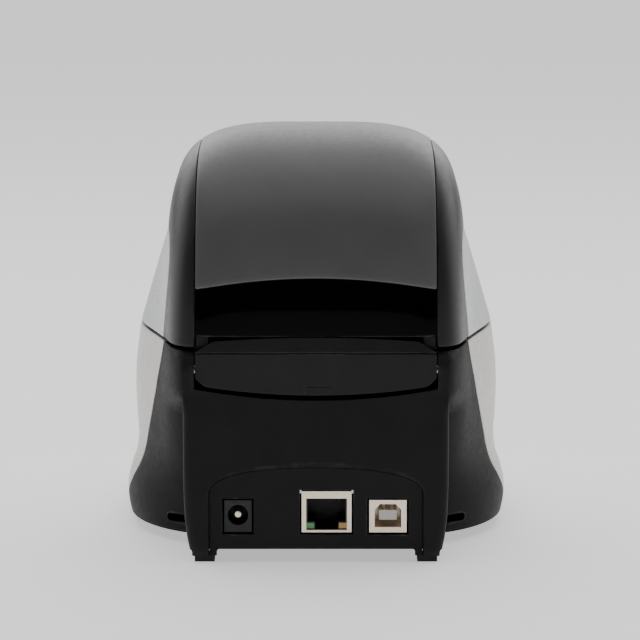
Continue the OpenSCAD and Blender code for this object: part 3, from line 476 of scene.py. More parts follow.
def turn_and_lean(points):
    """Chart of the lid's side: how far round the crown line each point is, and how far out it leans."""
    x, y, z = np.moveaxis(points - HUB, -1, 0)
    return np.stack([np.arctan2(z, y), np.arctan2(x, np.hypot(y, z))], -1)


def lid_land():
    """The land of the +X side: rows run from the front seam over the top to the rear seam."""
    rows, columns = 161, 31
    edge = over_the_top(np.array([STRIP_HALF]), np.array([LID_EDGE]), rows)[::-1, 0]
    wing = wing_points(0.0)
    outline = np.concatenate([wing[:, -1], wing[-1, ::-1][1:], wing[::-1, 0][1:]])
    turn = turn_and_lean(outline)[:, 0]
    even = np.linspace(turn[0], turn[-1], rows)
    outer = np.stack([np.interp(-even, -turn, outline[:, k]) for k in range(3)], 1)

    def seam(first, last):
        """The seam from the first point to the last, found by level rays from the crown line."""
        a = np.linspace(plan_turn(first), plan_turn(last), columns)
        start = np.array([0, CROWN_Y, LID_EDGE])
        return lid_hit(start, start + np.stack([np.cos(a), np.sin(a), 0 * a], 1))

    front, rear = seam(edge[0], outer[0]), seam(edge[-1], outer[-1])
    turn, lean = np.moveaxis(patch(*map(turn_and_lean, (front, rear, edge, outer))), -1, 0)
    ray = np.stack([np.sin(lean), np.cos(lean) * np.cos(turn), np.cos(lean) * np.sin(turn)], -1)
    laid = lid_hit(HUB, HUB + ray)
    laid[0], laid[-1], laid[:, 0], laid[:, -1] = front, rear, edge, outer
    return laid


land = lid_land()
print("land:", land.shape[0], "rows of", land.shape[1], "points")

# %% [markdown]
# ## The layer under the skins
# A plain inner layer lies under all the skins of the lid, so no seam shows daylight.
# Its faces behind the hinge cover are deleted, and the two lands are joined to it as one moulding.

# %% Model the lid shell
LAYER_DEPTH, LAYER_WALL = 1.6, 1.2
COVER_HALF, BAY_TOP, BAY_Y = 38.5, 72.2, 60


def lid_layer():
    """The inner layer: columns round the plan, rows from the seam to the crown."""
    a = np.radians(np.concatenate([np.linspace(0, 60, 25), np.linspace(62, 90, 9)]))
    a = np.concatenate([a, math.pi - a[::-1][1:], math.pi + a[1:], 2 * math.pi - a[::-1][1:]])
    u = np.sin(np.radians([0.45, 3.55, 8, 13, *range(18, 67, 6), 72, 77, 81, 85, 88, 90]))[:, None]
    q, z = boxiness(u), SEAM_Z + (TOP_Z - SEAM_Z) * u
    c, s = np.cos(a), np.sin(a)
    r = (np.abs(c) ** q + np.abs(s) ** q) ** (-1 / q)
    y = CROWN_Y + reach(u, s > 0) * r * s
    x = plain_half(u) * r * c + np.sign(c) * flare(y, z) * (r * np.abs(c)) ** 3
    return np.stack(np.broadcast_arrays(x, y, z), -1)


def shrink(points, depth, centre):
    """Moves each point square to the surface it lies on, toward the centre, by the depth."""
    du, dv = np.gradient(points, axis=1), np.gradient(points, axis=0)
    normal = np.cross(du, dv)
    size = np.linalg.norm(normal, axis=-1, keepdims=True)
    normal = normal / np.maximum(size, 1e-9)
    side = np.sign(np.sum(normal * (points - np.array(centre, float)), -1, keepdims=True))
    return points - depth * normal * side * (size > 1e-9)


def cut_faces(piece, wanted):
    """Deletes the faces whose centre, in mm, passes the test."""
    pick(piece)
    bpy.ops.object.mode_set(mode="EDIT")
    bpy.ops.mesh.select_mode(type="FACE")
    bpy.ops.mesh.select_all(action="DESELECT")
    bpy.ops.object.mode_set(mode="OBJECT")
    for face in piece.data.polygons:
        face.select = bool(wanted(*(face.center / MM)))
    bpy.ops.object.mode_set(mode="EDIT")
    bpy.ops.mesh.delete(type="FACE")
    bpy.ops.object.mode_set(mode="OBJECT")


def model_lid_shell():
    layer = make_grid("lid_layer", shrink(lid_layer(), LAYER_DEPTH, HUB))
    cut_faces(layer, lambda x, y, z: y > BAY_Y and abs(x) < COVER_HALF and z < BAY_TOP)
    lands = [thicken(side_grid("lid_land", land, side), SKIN, RIM) for side in (1, -1)]
    shell = join("black_lid_shell", [thicken(layer, LAYER_WALL, 0, weld=0.3), *lands])
    return finish_piece(shell, "lid", "black_lid", "lid_shell")


lid_shell = model_lid_shell()

# %% [markdown]
# ## The hinge cover
# A flat cover closes the lid above the socket block.
# It has two cut top corners, a crease, and a bowed lower edge that turns up at both ends.
# A small latch outline marks the middle of its lower edge.

# %% Model the hinge cover
COVER_LOW, COVER_BOW, COVER_TOP, CREASE_Z, COVER_WALL, COVER_RIM = 53.6, 458, 72.0, 67.0, 2.0, 0.3
EAR_X, EAR_WIDTH, EAR_RISE = 34.5, 3.7, 2.2
FLAT_HALF, TOP_DROP, CORNER_FALL = 33.0, 1.3, 0.62
COVER_PROFILE = [(50, 89.85), (66.8, 89.1), (67, 88.6), (67.2, 88.9), (72, 88.1)]
LATCH_X, LATCH_TOP, LATCH_LINE = (-4.3, 3.4), 56.1, 0.35


def box_cutter(x, y, z, corner=0.0):
    """A box for Boolean cuts, from its two limits in mm along each axis. Corner rounds its edges."""
    low, high = np.sort([x, y, z]).T
    bpy.ops.mesh.primitive_cube_add(size=1, location=tuple((low + high) / 2 * MM),
                                    scale=tuple((high - low) * MM))
    bpy.ops.object.transform_apply(location=True, rotation=True, scale=True)
    cutter = bpy.context.object
    if corner:
        apply(cutter, "BEVEL", width=corner * MM, segments=4)
    return cutter


def cut(piece, cutter):
    apply(piece, "BOOLEAN", operation="DIFFERENCE", object=cutter, solver="EXACT")
    bpy.data.objects.remove(cutter)


def cover_points():
    """Rows from the bowed lower edge up to the crease, and from there to the top edge."""
    x = COVER_HALF * np.linspace(-1, 1, 97)
    far = np.abs(x)
    low = COVER_LOW + x**2 / COVER_BOW + EAR_RISE * np.clip((far - EAR_X) / EAR_WIDTH, 0, 1) ** 2
    corner = COVER_TOP - TOP_DROP - (far - FLAT_HALF) * CORNER_FALL
    top = np.where(far < FLAT_HALF, COVER_TOP - TOP_DROP * (x / FLAT_HALF) ** 2, corner)
    t = np.concatenate([np.linspace(0, 0.98, 30), np.linspace(0.99, 1.01, 7), np.linspace(1.03, 2, 18)])
    t = t[:, None]
    above = CREASE_Z + (np.maximum(top, CREASE_Z) - CREASE_Z) * (t - 1)
    z = np.where(t < 1, low + (CREASE_Z - low) * t, above)
    return np.stack(np.broadcast_arrays(x, np.interp(z, *zip(*COVER_PROFILE)), z), -1)


def model_hinge_cover():
    cover = thicken(make_grid("hinge_cover", cover_points()), COVER_WALL, COVER_RIM, weld=0.005)
    x0, x1 = LATCH_X
    latch = box_cutter(LATCH_X, (89, 92), (50, LATCH_TOP))
    line = box_cutter((x0 - LATCH_LINE, x1 + LATCH_LINE), (89.2, 91), (49, LATCH_TOP + LATCH_LINE))
    cut(line, latch)
    cut(cover, line)
    return finish_piece(cover, "lid", "black_lid", "lid_flap")


hinge_cover = model_hinge_cover()

# %% [markdown]
# ## The silver side panels
# The panels cover most of the body's sides, down to the skirt. They are laid with `side_point`.

# %% Model the side panels
PANEL = [(65, 67.4), (61.8, 58), (56.5, 49), (48, 38.6), (40.5, 30.5), (35, 22), (28, 13), (18, 8), (-60, 8),
         (-72, 14), (-69, 30), (-55, 48), (-43, 67.4)]
PANEL_CORNERS, PANEL_MIDDLE_Y, TOP_SEAM = (125, 290), 5.0, 67.4


def panel_points(inset, z_high):
    """Points of the +X panel, drawn in from its outline by the inset. Rows run from the skirt up."""
    rear, low, front = side_curve(PANEL, *PANEL_CORNERS)
    rear, low, front = spread(rear, 57), spread(low, 101), spread(front, 57)[::-1]
    high = np.stack([np.linspace(rear[0, 0], front[0, 0], 101), np.full(101, z_high)], 1)
    flat = draw_in(patch(low, high, rear[::-1], front[::-1]), (PANEL_MIDDLE_Y, z_high), inset)
    return side_point(flat[..., 0], flat[..., 1])


side_panels = model_silver_pair("side_panel", panel_points(GAP, TOP_SEAM), "housing", "silver_side")

# %% [markdown]
# ## The surfaces of the body housing
# The black housing shows as the rear flanks, the skirt and the front.
# Each side is one patch between two curves: outside runs the socket block's edge, the floor and a join
# near the front, and inside runs the panel's outline.
# The front is a plain grid whose lines follow the fascia and the label exit.

# %% Lay the sides and the front
BLOCK_X, BLOCK_Y, FLOOR_Z, JOIN_X = 42.6, 93.5, 3.5, 34.0
LEAN, LEAN_LOW, LEAN_RUN = 2.9, 5, 46.3
SHOULDER_WIDTH, SHOULDER_Y, SHOULDER_Z, SHOULDER_RISE = 8.5, 55, 46, 9
CHEEK_Y, CHEEK_Z, CHEEK_R = 84, 61, 6.2
FRONT_Z = np.concatenate([[FLOOR_Z], np.arange(5, 20, 2), np.arange(22, 50, 3),
                          [51, 53.5, 55.5, 58, 61.2, 63.2, 65.3, TOP_SEAM]])


def block_rear(z):
    """The socket block's rear surface in side view: a slight curve, then the round cheeks of the hinge."""
    z = np.asarray(z, float)
    curve = BLOCK_Y - LEAN * (np.clip(z - LEAN_LOW, 0, LEAN_RUN) / LEAN_RUN) ** 2
    curve = curve - 0.4 * ease((z - 51) / 4) - 0.7 * ease((4 - z) / 2)
    cheek = CHEEK_Y + np.sqrt(np.maximum(CHEEK_R**2 - (z - CHEEK_Z) ** 2, 0))
    return np.where(z > CHEEK_Z, cheek, curve)


def shoulder_out(points):
    """Swells the rear corner above the block's sides, so it runs out to the round hinge cheeks."""
    x, y, z = np.moveaxis(points, -1, 0)
    step = block_rear(z) - GAP - body_slide("x", BLOCK_X, z, True)[..., 1]
    near = 1 - ease((x - BLOCK_X) / SHOULDER_WIDTH)
    high = ease((z - SHOULDER_Z) / SHOULDER_RISE)
    out = np.where(y > SHOULDER_Y, np.maximum(step, 0) * near * high, 0)
    return points + out[..., None] * [0, 1, 0]


def body_side():
    """The +X side. Rows run out from the panel's outline, columns from the block round to the front."""
    down, along, up = 45, 90, len(FRONT_Z)
    block = body_slide("x", BLOCK_X, np.linspace(TOP_SEAM, FLOOR_Z, down), True)
    join_up = front_point(np.full(up, JOIN_X), FRONT_Z)
    turn = np.linspace(plan_turn(block[-1]), plan_turn(join_up[0]), along + 2)[1:-1]
    outer = np.concatenate([spread(block, down), body_at(turn, FLOOR_Z), join_up])
    rear, low, front = side_curve(PANEL, *PANEL_CORNERS)
    inner = np.concatenate([spread(rear, down + 1)[:-1], spread(low, along + 1)[:-1], spread(front, up)])
    inner = side_point(inner[:, 0], np.minimum(inner[:, 1], TOP_SEAM))
    s = np.linspace(0, 1, 15)[:, None]
    turn = (1 - s) * plan_turn(inner) + s * plan_turn(outer)
    laid = body_at(turn, (1 - s) * inner[:, 2] + s * outer[:, 2])
    laid[0], laid[-1] = inner, outer
    return shoulder_out(laid)


def body_front():
    x = np.concatenate([[-JOIN_X, -33, -30, -27], np.linspace(-24, 24, 17), [27, 30, 33, JOIN_X]])
    return front_point(*np.meshgrid(x, FRONT_Z))


print("block reaches back to", round(float(block_rear(5.0)), 1), "mm")

# %% [markdown]
# ## The body housing
# The two sides and the front are joined and welded into one shell, and Solidify gives them one wall.
# The faces at the fascia and at the label exit are deleted first, while they are still plain grid faces.
# A Boolean cutter opens a low slot in each rear flank. Inner layers close the shell behind the panels.

# %% Model the body housing
BODY_MIDDLE, CASE_WALL, LAYER_SPREAD, LAYER_TOP = (0, 10, 30), 2.6, 2.0, 66.9
FASCIA_HALF, FASCIA_LOW, FASCIA_HIGH, FASCIA_LAP = 27, 19, 51, 1
EXIT_HALF, EXIT_LOW, EXIT_HIGH = 33, 55.5, 61.2
SLOT_X, SLOT_Y, SLOT_Z, SLOT_CORNER = (40.0, 48.8), (45, 92), (6.6, 9.3), 1.25


def fascia_points(margin, columns, rows):
    """The front over the fascia's opening, larger all round by the margin."""
    half, low, high = FASCIA_HALF + margin, FASCIA_LOW - margin, FASCIA_HIGH + margin
    return front_point(*np.meshgrid(np.linspace(-half, half, columns), np.linspace(low, high, rows)))


def under_layer(name, points, side=1):
    """A plain wall a little below the surface that the points lie on."""
    layer = side_grid(name, shrink(points, LAYER_DEPTH, BODY_MIDDLE), side)
    return thicken(layer, LAYER_WALL, 0, BODY_MIDDLE)


def model_body_housing():
    side_points = body_side()
    parts = [make_grid("body_front", body_front())]
    parts += [side_grid("body_side", side_points, side) for side in (1, -1)]
    for part in parts:
        face_out(part, BODY_MIDDLE)
    shell = join("black_body_housing", parts)
    cut_faces(shell, lambda x, y, z: y < -40 and abs(x) < FASCIA_HALF and FASCIA_LOW < z < FASCIA_HIGH)
    cut_faces(shell, lambda x, y, z: y < -40 and abs(x) < EXIT_HALF and EXIT_LOW < z < EXIT_HIGH)
    parts = [thicken(shell, CASE_WALL, RIM, BODY_MIDDLE, weld=0.05)]
    for side in (1, -1):
        cut(shell, box_cutter([side * x for x in SLOT_X], SLOT_Y, SLOT_Z, SLOT_CORNER))
        parts.append(under_layer("panel_layer", panel_points(-LAYER_SPREAD, LAYER_TOP), side))
    parts.append(under_layer("fascia_layer", fascia_points(FASCIA_LAP, 25, 18)))
    return finish_piece(join("black_body_housing", parts), "housing", "black_case", "body_housing")


body_housing = model_body_housing()

# %% [markdown]
# ## The gloss fascia
# The fascia lies on the sloping front. Round cutters leave the holes for the two buttons and the lamp.
# A cut leaves long thin faces that shade badly, so Weighted Normal evens the normals afterwards.

# %% Model the fascia
FASCIA_GAP, FASCIA_RIM, BUTTON_Z, SLOPE = 0.2, 0.3, 35.0, 45
HOLES = ((-14, 5.4), (14, 5.4), (0, 1.6))


def round_cutter(x, radius):
    """A cylinder square to the sloping front, at the buttons' height."""
    middle = front_point(np.array(0.0), np.array(BUTTON_Z))
    bpy.ops.mesh.primitive_cylinder_add(vertices=48, radius=radius * MM, depth=20 * MM,
                                        location=(x * MM, middle[1] * MM, middle[2] * MM),
                                        rotation=(math.radians(SLOPE), 0, 0))
    bpy.ops.object.transform_apply(location=True, rotation=True, scale=True)
    return bpy.context.object


def model_fascia():
    fascia = make_grid("gloss_fascia", fascia_points(-FASCIA_GAP, 37, 25))
    thicken(fascia, SKIN, FASCIA_RIM, BODY_MIDDLE)
    for x, radius in HOLES:
        cut(fascia, round_cutter(x, radius))
    apply(fascia, "WEIGHTED_NORMAL", keep_sharp=True)
    return finish_piece(fascia, "housing", "gloss_fascia", "front_panel")


fascia = model_fascia()

# %% [markdown]
# ## The socket block
# The block stands proud of the body's rear and carries the sockets. Its plan has round corners,
# and it narrows toward the feet. Boolean cutters open the arch for the socket panel down to the floor,
# the bowed pocket for the hinge cover, and a low notch at each outer foot.
# A last bevel rounds every cut edge.

# %% Model the socket block
ARCH_HALF, ARCH_TOP, ARCH_RISE, ARCH_POWER, LEDGE = 34.15, 31.95, 10.0, 1 / 1.2, 1.2
BLOCK_WALL, BLOCK_EDGE, REAR_CLEAR = 2.7, 0.35, 99
BLOCK_HALVES = [(2, 40.2), (4, 40.4), (8, 41.2), (13.5, 41.9), (22, 42.3), (36, 42.45), (67.2, 42.45)]
POCKET_HALF, POCKET_LOW, POCKET_BOW = 38.9, 52.0, 420
NOTCH_X, NOTCH_Y, NOTCH_Z = (39.6, 50), (50, REAR_CLEAR), (-5, 4.2)


def arch_slab(name, half, low, top, rise, y, depth, weld=0.02):
    """A slab with an arched outline, from y forward: straight sides, then a flattened arch."""
    a = np.linspace(math.pi, 0, 81)
    c, s = np.cos(a), np.sin(a)
    x = half * np.sign(c) * np.abs(c) ** ARCH_POWER
    high = top - rise + rise * np.abs(s) ** ARCH_POWER
    z = low + (high - low) * np.linspace(0, 1, 31)[:, None]
    points = np.stack(np.broadcast_arrays(x, np.float64(y), z), -1)
    return thicken(make_grid(name, points), depth, 0, weld=weld)


def block_points():
    """Rows from the feet up, each from one side wall round the rear corners to the other side wall."""
    z = np.concatenate([[2, 2.6, 3.4], np.linspace(4.3, 50, 26), np.linspace(51, 60, 10),
                        np.linspace(61, 67.1, 12)])
    half, rear, radius = np.interp(z, *zip(*BLOCK_HALVES)), block_rear(z), 3.0 - 2.6 * ease((z - 44) / 10)
    turn, rows = np.radians(np.linspace(0, 90, 9)), []
    for z_row, half_row, rear_row, r in zip(z, half, rear, radius):
        wall = np.stack([np.full(8, half_row), np.linspace(58, rear_row - 3.6, 8)], 1)
        arc = np.stack([half_row - r + r * np.cos(turn), rear_row - r + r * np.sin(turn)], 1)
        face = np.stack([np.linspace(half_row - 4, 0, 30), np.full(30, rear_row)], 1)
        right = np.concatenate([wall, arc, face])
        row = np.concatenate([right, (right * [-1, 1])[::-1][1:]])
        rows.append(np.column_stack([row, np.full(len(row), z_row)]))
    return np.array(rows)


def pocket_cutter():
    """The room behind the hinge cover, with the cover's bowed lower edge."""
    x = np.linspace(-POCKET_HALF, POCKET_HALF, 61)
    low = POCKET_LOW + x**2 / POCKET_BOW
    z = low + (90 - low) * np.linspace(0, 1, 9)[:, None]
    return thicken(make_grid("pocket", np.stack(np.broadcast_arrays(x, float(REAR_CLEAR), z), -1)), 45, 0)


def model_socket_block():
    block = thicken(make_grid("socket_block", block_points()), BLOCK_WALL, 0, BODY_MIDDLE)
    cut(block, arch_slab("arch", ARCH_HALF, -5, ARCH_TOP - LEDGE, ARCH_RISE - LEDGE, REAR_CLEAR, 20))
    cut(block, arch_slab("step", ARCH_HALF + 0.3, -4, ARCH_TOP, ARCH_RISE, REAR_CLEAR, 6.6))
    cut(block, pocket_cutter())
    for side in (1, -1):
        cut(block, box_cutter([side * x for x in NOTCH_X], NOTCH_Y, NOTCH_Z, 1.0))
    round_edges(block, BLOCK_EDGE, 2, 45)
    apply(block, "WEIGHTED_NORMAL", keep_sharp=True)
    return finish_piece(block, "housing", "black_case", "rear_block")


socket_block = model_socket_block()

# %% [markdown]
# ## The socket panel
# The panel lies in the arch, a little deep, so its rim shows as a second line under the block's step.
# Its three openings are cut from the measured boxes of the sockets, with a little clearance.

# %% Model the socket panel
SOCKET_GAP, SOCKET_LOW, SOCKET_Y, SOCKET_WALL = 0.15, 2.2, 92.2, 3.6
SOCKETS = (("power_jack", 0.5), ("network_shell", 0.55), ("usb_shell", 0.6))
FOOT_X, FOOT_Z = (-31.7, 31.7), (-5, 4.35)


def bounds_mm(node):
    corners = np.array([v.co for v in node.data.vertices]) / MM
    return corners.min(0), corners.max(0)


def model_socket_panel():
    panel = arch_slab("socket_panel", ARCH_HALF - SOCKET_GAP, SOCKET_LOW, ARCH_TOP - 1.4, ARCH_RISE - LEDGE,
                      SOCKET_Y, SOCKET_WALL, weld=0.005)
    round_edges(panel, BLOCK_EDGE, 2, 60)
    cut(panel, box_cutter(FOOT_X, (60, REAR_CLEAR), FOOT_Z, 1.0))
    for name, gap in SOCKETS:
        low, high = bounds_mm(nodes[name])
        cut(panel, box_cutter((low[0] - gap, high[0] + gap), (60, REAR_CLEAR), (low[2] - gap, high[2] + gap)))
    return finish_piece(panel, "housing", "black_case", "port_panel")


socket_panel = model_socket_panel()

# %% [markdown]
# ## Worn edges
# Moulded edges rub pale with use. We store how sharply the surface turns at each vertex in an attribute.
# The materials read it, so the wear sits on the rims and nowhere else.

# %% Mark the edges of our own pieces
def mark_edges(piece):
    """Writes the attribute "edge": 0 on flat places, 1 where the surface turns by 60 degrees or more."""
    mesh = piece.data
    low, high = np.full((len(mesh.vertices), 3), 2.0), np.full((len(mesh.vertices), 3), -2.0)
    for face in mesh.polygons:
        normal = np.array(face.normal)
        for v in face.vertices:
            low[v], high[v] = np.minimum(low[v], normal), np.maximum(high[v], normal)
    turn = np.clip(np.linalg.norm(high - low, axis=1), 0, 1)
    mesh.attributes.new("edge", "FLOAT", "POINT").data.foreach_set("value", turn.astype(np.float32))


made = [strip, window, lid_shell, hinge_cover, body_housing, fascia, socket_block, socket_panel, *wings,
        *side_panels]
for piece in made:
    mark_edges(piece)
print("marked:", ", ".join(p.name for p in made))

# %% [markdown]
# ## Materials
# `surface` builds every material from the same few ideas, each from Object coordinates:
# a slow drift between two tones, a fine grain in the bump, patches of roughness, and pale worn edges.
# Brushed metals stretch their noise along one axis. Flakes scatter bright specks through a silver paint.

# %% Build a material
def add_node(tree, kind, **values):
    """A new node. Each value goes to the input of that name, or else to the setting of that name."""
    node = tree.nodes.new(kind)
    for key, value in values.items():
        if key in node.inputs:
            node.inputs[key].default_value = value
        else:
            setattr(node, key, value)
    return node


def map_range(tree, source, low, high, out_low=0.0, out_high=1.0):
    """Stretches the range from low to high to the range from out_low to out_high."""
    node = add_node(tree, "ShaderNodeMapRange")
    for key, value in zip(("From Min", "From Max", "To Min", "To Max"), (low, high, out_low, out_high)):
        node.inputs[key].default_value = value
    tree.links.new(source, node.inputs["Value"])
    return node.outputs["Result"]


def multiply(tree, a, b):
    node = add_node(tree, "ShaderNodeMath", operation="MULTIPLY")
    tree.links.new(a, node.inputs[0])
    tree.links.new(b, node.inputs[1])
    return node.outputs["Value"]


def surface(name, tone, drift, rough, grain=0.3, height=0.01, metal=0.0, coat=0.0, wear=0.0, brush=None,
            flake=0.0, specular=0.5):
    """Tone and drift are two colours, rough the lowest and highest roughness. Grain and height are in mm."""
    material = bpy.data.materials.new(name)
    material.use_nodes = True
    tree = material.node_tree
    shader = tree.nodes["Principled BSDF"]
    add, ramp = partial(add_node, tree), partial(map_range, tree)
    place = add("ShaderNodeTexCoord").outputs["Object"]

    def noise(size, detail=3.0, stretch=None):
        node = add("ShaderNodeTexNoise", Scale=1000 / size, Detail=detail, Roughness=0.6)
        source = place
        if stretch:
            mapping = add("ShaderNodeMapping", Scale=stretch)
            tree.links.new(source, mapping.inputs["Vector"])
            source = mapping.outputs["Vector"]
        tree.links.new(source, node.inputs["Vector"])
        return node.outputs["Fac"]

    def mix(low, high, factor):
        node = add("ShaderNodeMix", data_type="RGBA")
        for socket, value in ((node.inputs[6], low), (node.inputs[7], high)):
            if isinstance(value, tuple):
                socket.default_value = (*value, 1)
            else:
                tree.links.new(value, socket)
        tree.links.new(factor, node.inputs[0])
        return node.outputs[2]

    colour = mix(tone, drift, ramp(noise(18), 0.35, 0.65))
    roughness = ramp(noise(0.5 if brush else 2.2, 4, brush), 0.3, 0.7, *rough)
    if flake:
        cells = add("ShaderNodeTexVoronoi", Scale=1000 / 0.35)
        tree.links.new(place, cells.inputs["Vector"])
        split = add("ShaderNodeSeparateColor")
        tree.links.new(cells.outputs["Color"], split.inputs["Color"])
        bright = tuple(min(1.0, c * (1 + flake)) for c in tone)
        colour = mix(colour, bright, ramp(split.outputs["Red"], 0.72, 1.0))
    if brush:
        colour = mix(colour, tuple(c * 0.82 for c in tone), ramp(noise(0.4, 2, brush), 0.45, 0.75))
    if wear:
        rim = add("ShaderNodeAttribute", attribute_name="edge").outputs["Fac"]
        worn = multiply(tree, ramp(rim, 0.25, 0.9, 0, wear), ramp(noise(5, 5), 0.42, 0.62))
        colour = mix(colour, tuple(min(1.0, c + 0.12) for c in drift), worn)
    bump = add("ShaderNodeBump", Strength=0.6, Distance=height * MM)
    tree.links.new(noise(grain, 0.0, brush), bump.inputs["Height"])
    tree.links.new(colour, shader.inputs["Base Color"])
    tree.links.new(roughness, shader.inputs["Roughness"])
    tree.links.new(bump.outputs["Normal"], shader.inputs["Normal"])
    for key, value in (("Metallic", metal), ("Coat Weight", coat), ("Coat Roughness", 0.06),
                       ("Specular IOR Level", specular)):
        shader.inputs[key].default_value = value
    return material


# %% [markdown]
# ## The palette
# The mouldings are near black, with a dull grey strip and two silver paints. Metals get a brushed look.
# Each line gives two tones, the range of roughness, and the size and height of the grain.

# %% Mix the materials
MATERIALS = {}


def grey(value, warm=0.0):
    return (value * (1 + warm), value, value * (1 - warm))


def add_finish(name, *look, **extras):
    MATERIALS[name] = surface(name, *look, **extras)


add_finish("black_case", grey(0.020), grey(0.023), (0.46, 0.58), 0.35, 0.012, wear=0.35, specular=0.06)
add_finish("black_lid", grey(0.016), grey(0.019), (0.34, 0.42), 0.4, 0.003, wear=0.3, specular=0.2)
add_finish("grey_strip", grey(0.10), grey(0.11), (0.36, 0.46), 0.3, 0.010, wear=0.35, specular=0.3)
# smoked_window: partly the smoked tint, partly painted shade of the dark inside, on an opaque sheet that
# hides it
add_finish("smoked_window", grey(0.001), grey(0.0015), (0.03, 0.07), 1.5, 0.001, wear=0.1, specular=0.05)
add_finish("gloss_fascia", grey(0.004), grey(0.005), (0.05, 0.1), 1.2, 0.001, coat=0.5, wear=0.1)
silver = {"metal": 0.35, "wear": 0.4, "flake": 0.5}
add_finish("silver_wing", (0.54, 0.55, 0.56), (0.58, 0.59, 0.60), (0.34, 0.46), 0.4, 0.008, **silver)
add_finish("silver_side", (0.58, 0.565, 0.525), (0.62, 0.605, 0.565), (0.34, 0.46), 0.4, 0.008, **silver)

add_finish("foot_rubber", grey(0.012), grey(0.018), (0.75, 0.9), 0.5, 0.03)
add_finish("inner_black", grey(0.014), grey(0.02), (0.5, 0.65), 0.5, 0.02)
add_finish("connector_black", grey(0.006), grey(0.009), (0.4, 0.55), 0.3, 0.01)
add_finish("chip_black", grey(0.012), grey(0.02), (0.5, 0.7), 0.25, 0.02)
add_finish("spool_grey", grey(0.03), grey(0.04), (0.4, 0.55), 0.4, 0.015)
add_finish("button_grey", grey(0.05), grey(0.065), (0.4, 0.52), 0.35, 0.012)
add_finish("lever_blue", (0.02, 0.09, 0.26), (0.03, 0.12, 0.32), (0.35, 0.5), 0.4, 0.012)
add_finish("platen_rubber", grey(0.02), grey(0.028), (0.7, 0.85), 0.3, 0.02, brush=(1, 3, 3))
add_finish("tongue_white", grey(0.68, 0.03), grey(0.74, 0.03), (0.4, 0.55), 0.4, 0.01)
add_finish("gear_acetal", grey(0.66, 0.03), grey(0.72, 0.02), (0.35, 0.5), 0.5, 0.01)
add_finish("head_ceramic", grey(0.62, 0.06), grey(0.7, 0.05), (0.2, 0.34), 0.4, 0.005)
add_finish("board_green", (0.008, 0.09, 0.035), (0.012, 0.13, 0.05), (0.25, 0.4), 1.0, 0.01, coat=0.3)
add_finish("lamp_green", (0.03, 0.24, 0.05), (0.05, 0.32, 0.08), (0.1, 0.2), 0.8, 0.003, coat=0.6)
add_finish("lamp_amber", (0.50, 0.26, 0.02), (0.60, 0.33, 0.04), (0.1, 0.2), 0.8, 0.003, coat=0.6)
add_finish("light_pipe", (0.7, 0.78, 0.82), (0.75, 0.83, 0.88), (0.08, 0.16), 0.8, 0.003, coat=0.6)

add_metal = partial(add_finish, metal=1)
add_metal("nickel", (0.96, 0.83, 0.67), (1.0, 0.90, 0.75), (0.28, 0.40), 0.6, 0.004, brush=(1, 1, 6))
add_metal("contact_gold", (0.80, 0.58, 0.24), (0.86, 0.66, 0.32), (0.2, 0.34), 0.5, 0.004, brush=(6, 1, 1))
add_metal("shaft_steel", grey(0.62), grey(0.70), (0.14, 0.26), 0.5, 0.003, brush=(12, 1, 1))
add_metal("frame_steel", (0.50, 0.52, 0.55), (0.58, 0.60, 0.62), (0.3, 0.5), 0.8, 0.006, brush=(1, 3, 1))
add_metal("motor_steel", grey(0.5), grey(0.58), (0.3, 0.42), 0.6, 0.005, brush=(8, 1, 1))
add_metal("screw_steel", grey(0.4), grey(0.5), (0.3, 0.45), 0.4, 0.006, brush=(3, 1, 1))
add_metal("sink_aluminium", grey(0.66), grey(0.74), (0.3, 0.48), 0.5, 0.005, brush=(1, 8, 1))
print(len(MATERIALS), "materials")

# %% [markdown]
# ## Dress every piece
# Each piece takes the material of its slot. The CAD nodes that stay in view also get small rounded edges.

# %% Give out materials and soften the CAD nodes
PLAIN_ROUND = 0.1
ROUND = {"inner_deck": 0.3, "spool_spindle": 0.3, "spool_guide": 0.3, "release_lever": 0.4,
         "feed_button": 0.5, "eject_button": 0.5, "rubber_feet": 0.5, "power_jack": 0.2,
         "network_shell": 0.06, "usb_shell": 0.06, "usb_tongue": 0.15, "spool_cradle": 0.3,
         "roll_well": 0.3, "head_bracket": 0.2, "engine_frame": 0.2, "stepper_motor": 0.4}
slots = {part["node"]: part["material_slot"] for part in frame["record"]["subparts"]}


def dress(piece, slot):
    piece.data.materials.clear()
    piece.data.materials.append(MATERIALS[slot])


for piece in made:
    dress(piece, piece["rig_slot"])
for name, node in nodes.items():
    dress(node, slots[name])
    if node.hide_render:
        continue
    weld = node.modifiers.new("Weld", "WELD")
    weld.merge_threshold = 0.002 * MM
    bevel = node.modifiers.new("Bevel", "BEVEL")
    bevel.width, bevel.segments = ROUND.get(name, PLAIN_ROUND) * MM, 2
    bevel.limit_method, bevel.angle_limit = "ANGLE", math.radians(35)
    bevel.use_clamp_overlap = True
    node.modifiers.new("Normals", "WEIGHTED_NORMAL")
print("dressed", len(made), "own pieces and", len(nodes), "CAD nodes")

# %% [markdown]
# ## Camera, floor and lights
# The camera stands behind the printer and a little above it, far away with a long lens.
# A broad soft light hangs above, and two weak ones stand low on either side of the front.
# The floor is white paper that glows a little, so it stays pale right up to the feet.

# %% Set the camera, the floor and the lights
TARGET, DISTANCE, TILT = Vector((-1.3, 91.5, 78.2)) * MM, 1.3, math.radians(8.5)
LENS, SENSOR, FLOOR_SIZE, PAPER_GLOW = 230.6, 36, 8, 0.6
LIGHTS = (("top_light", (0, -0.15, 1.1), (0, 0.02, 0.05), (1.4, 1.2), 7),
          ("left_light", (0.9, -0.5, 0.35), (0, 0.05, 0.06), (0.8, 0.6), 2),
          ("right_light", (-0.9, -0.5, 0.35), (0, 0.05, 0.06), (0.8, 0.6), 2))


def aim(thing, place, target):
    thing.location = Vector(place)
    thing.rotation_euler = (Vector(target) - Vector(place)).to_track_quat("-Z", "Y").to_euler()


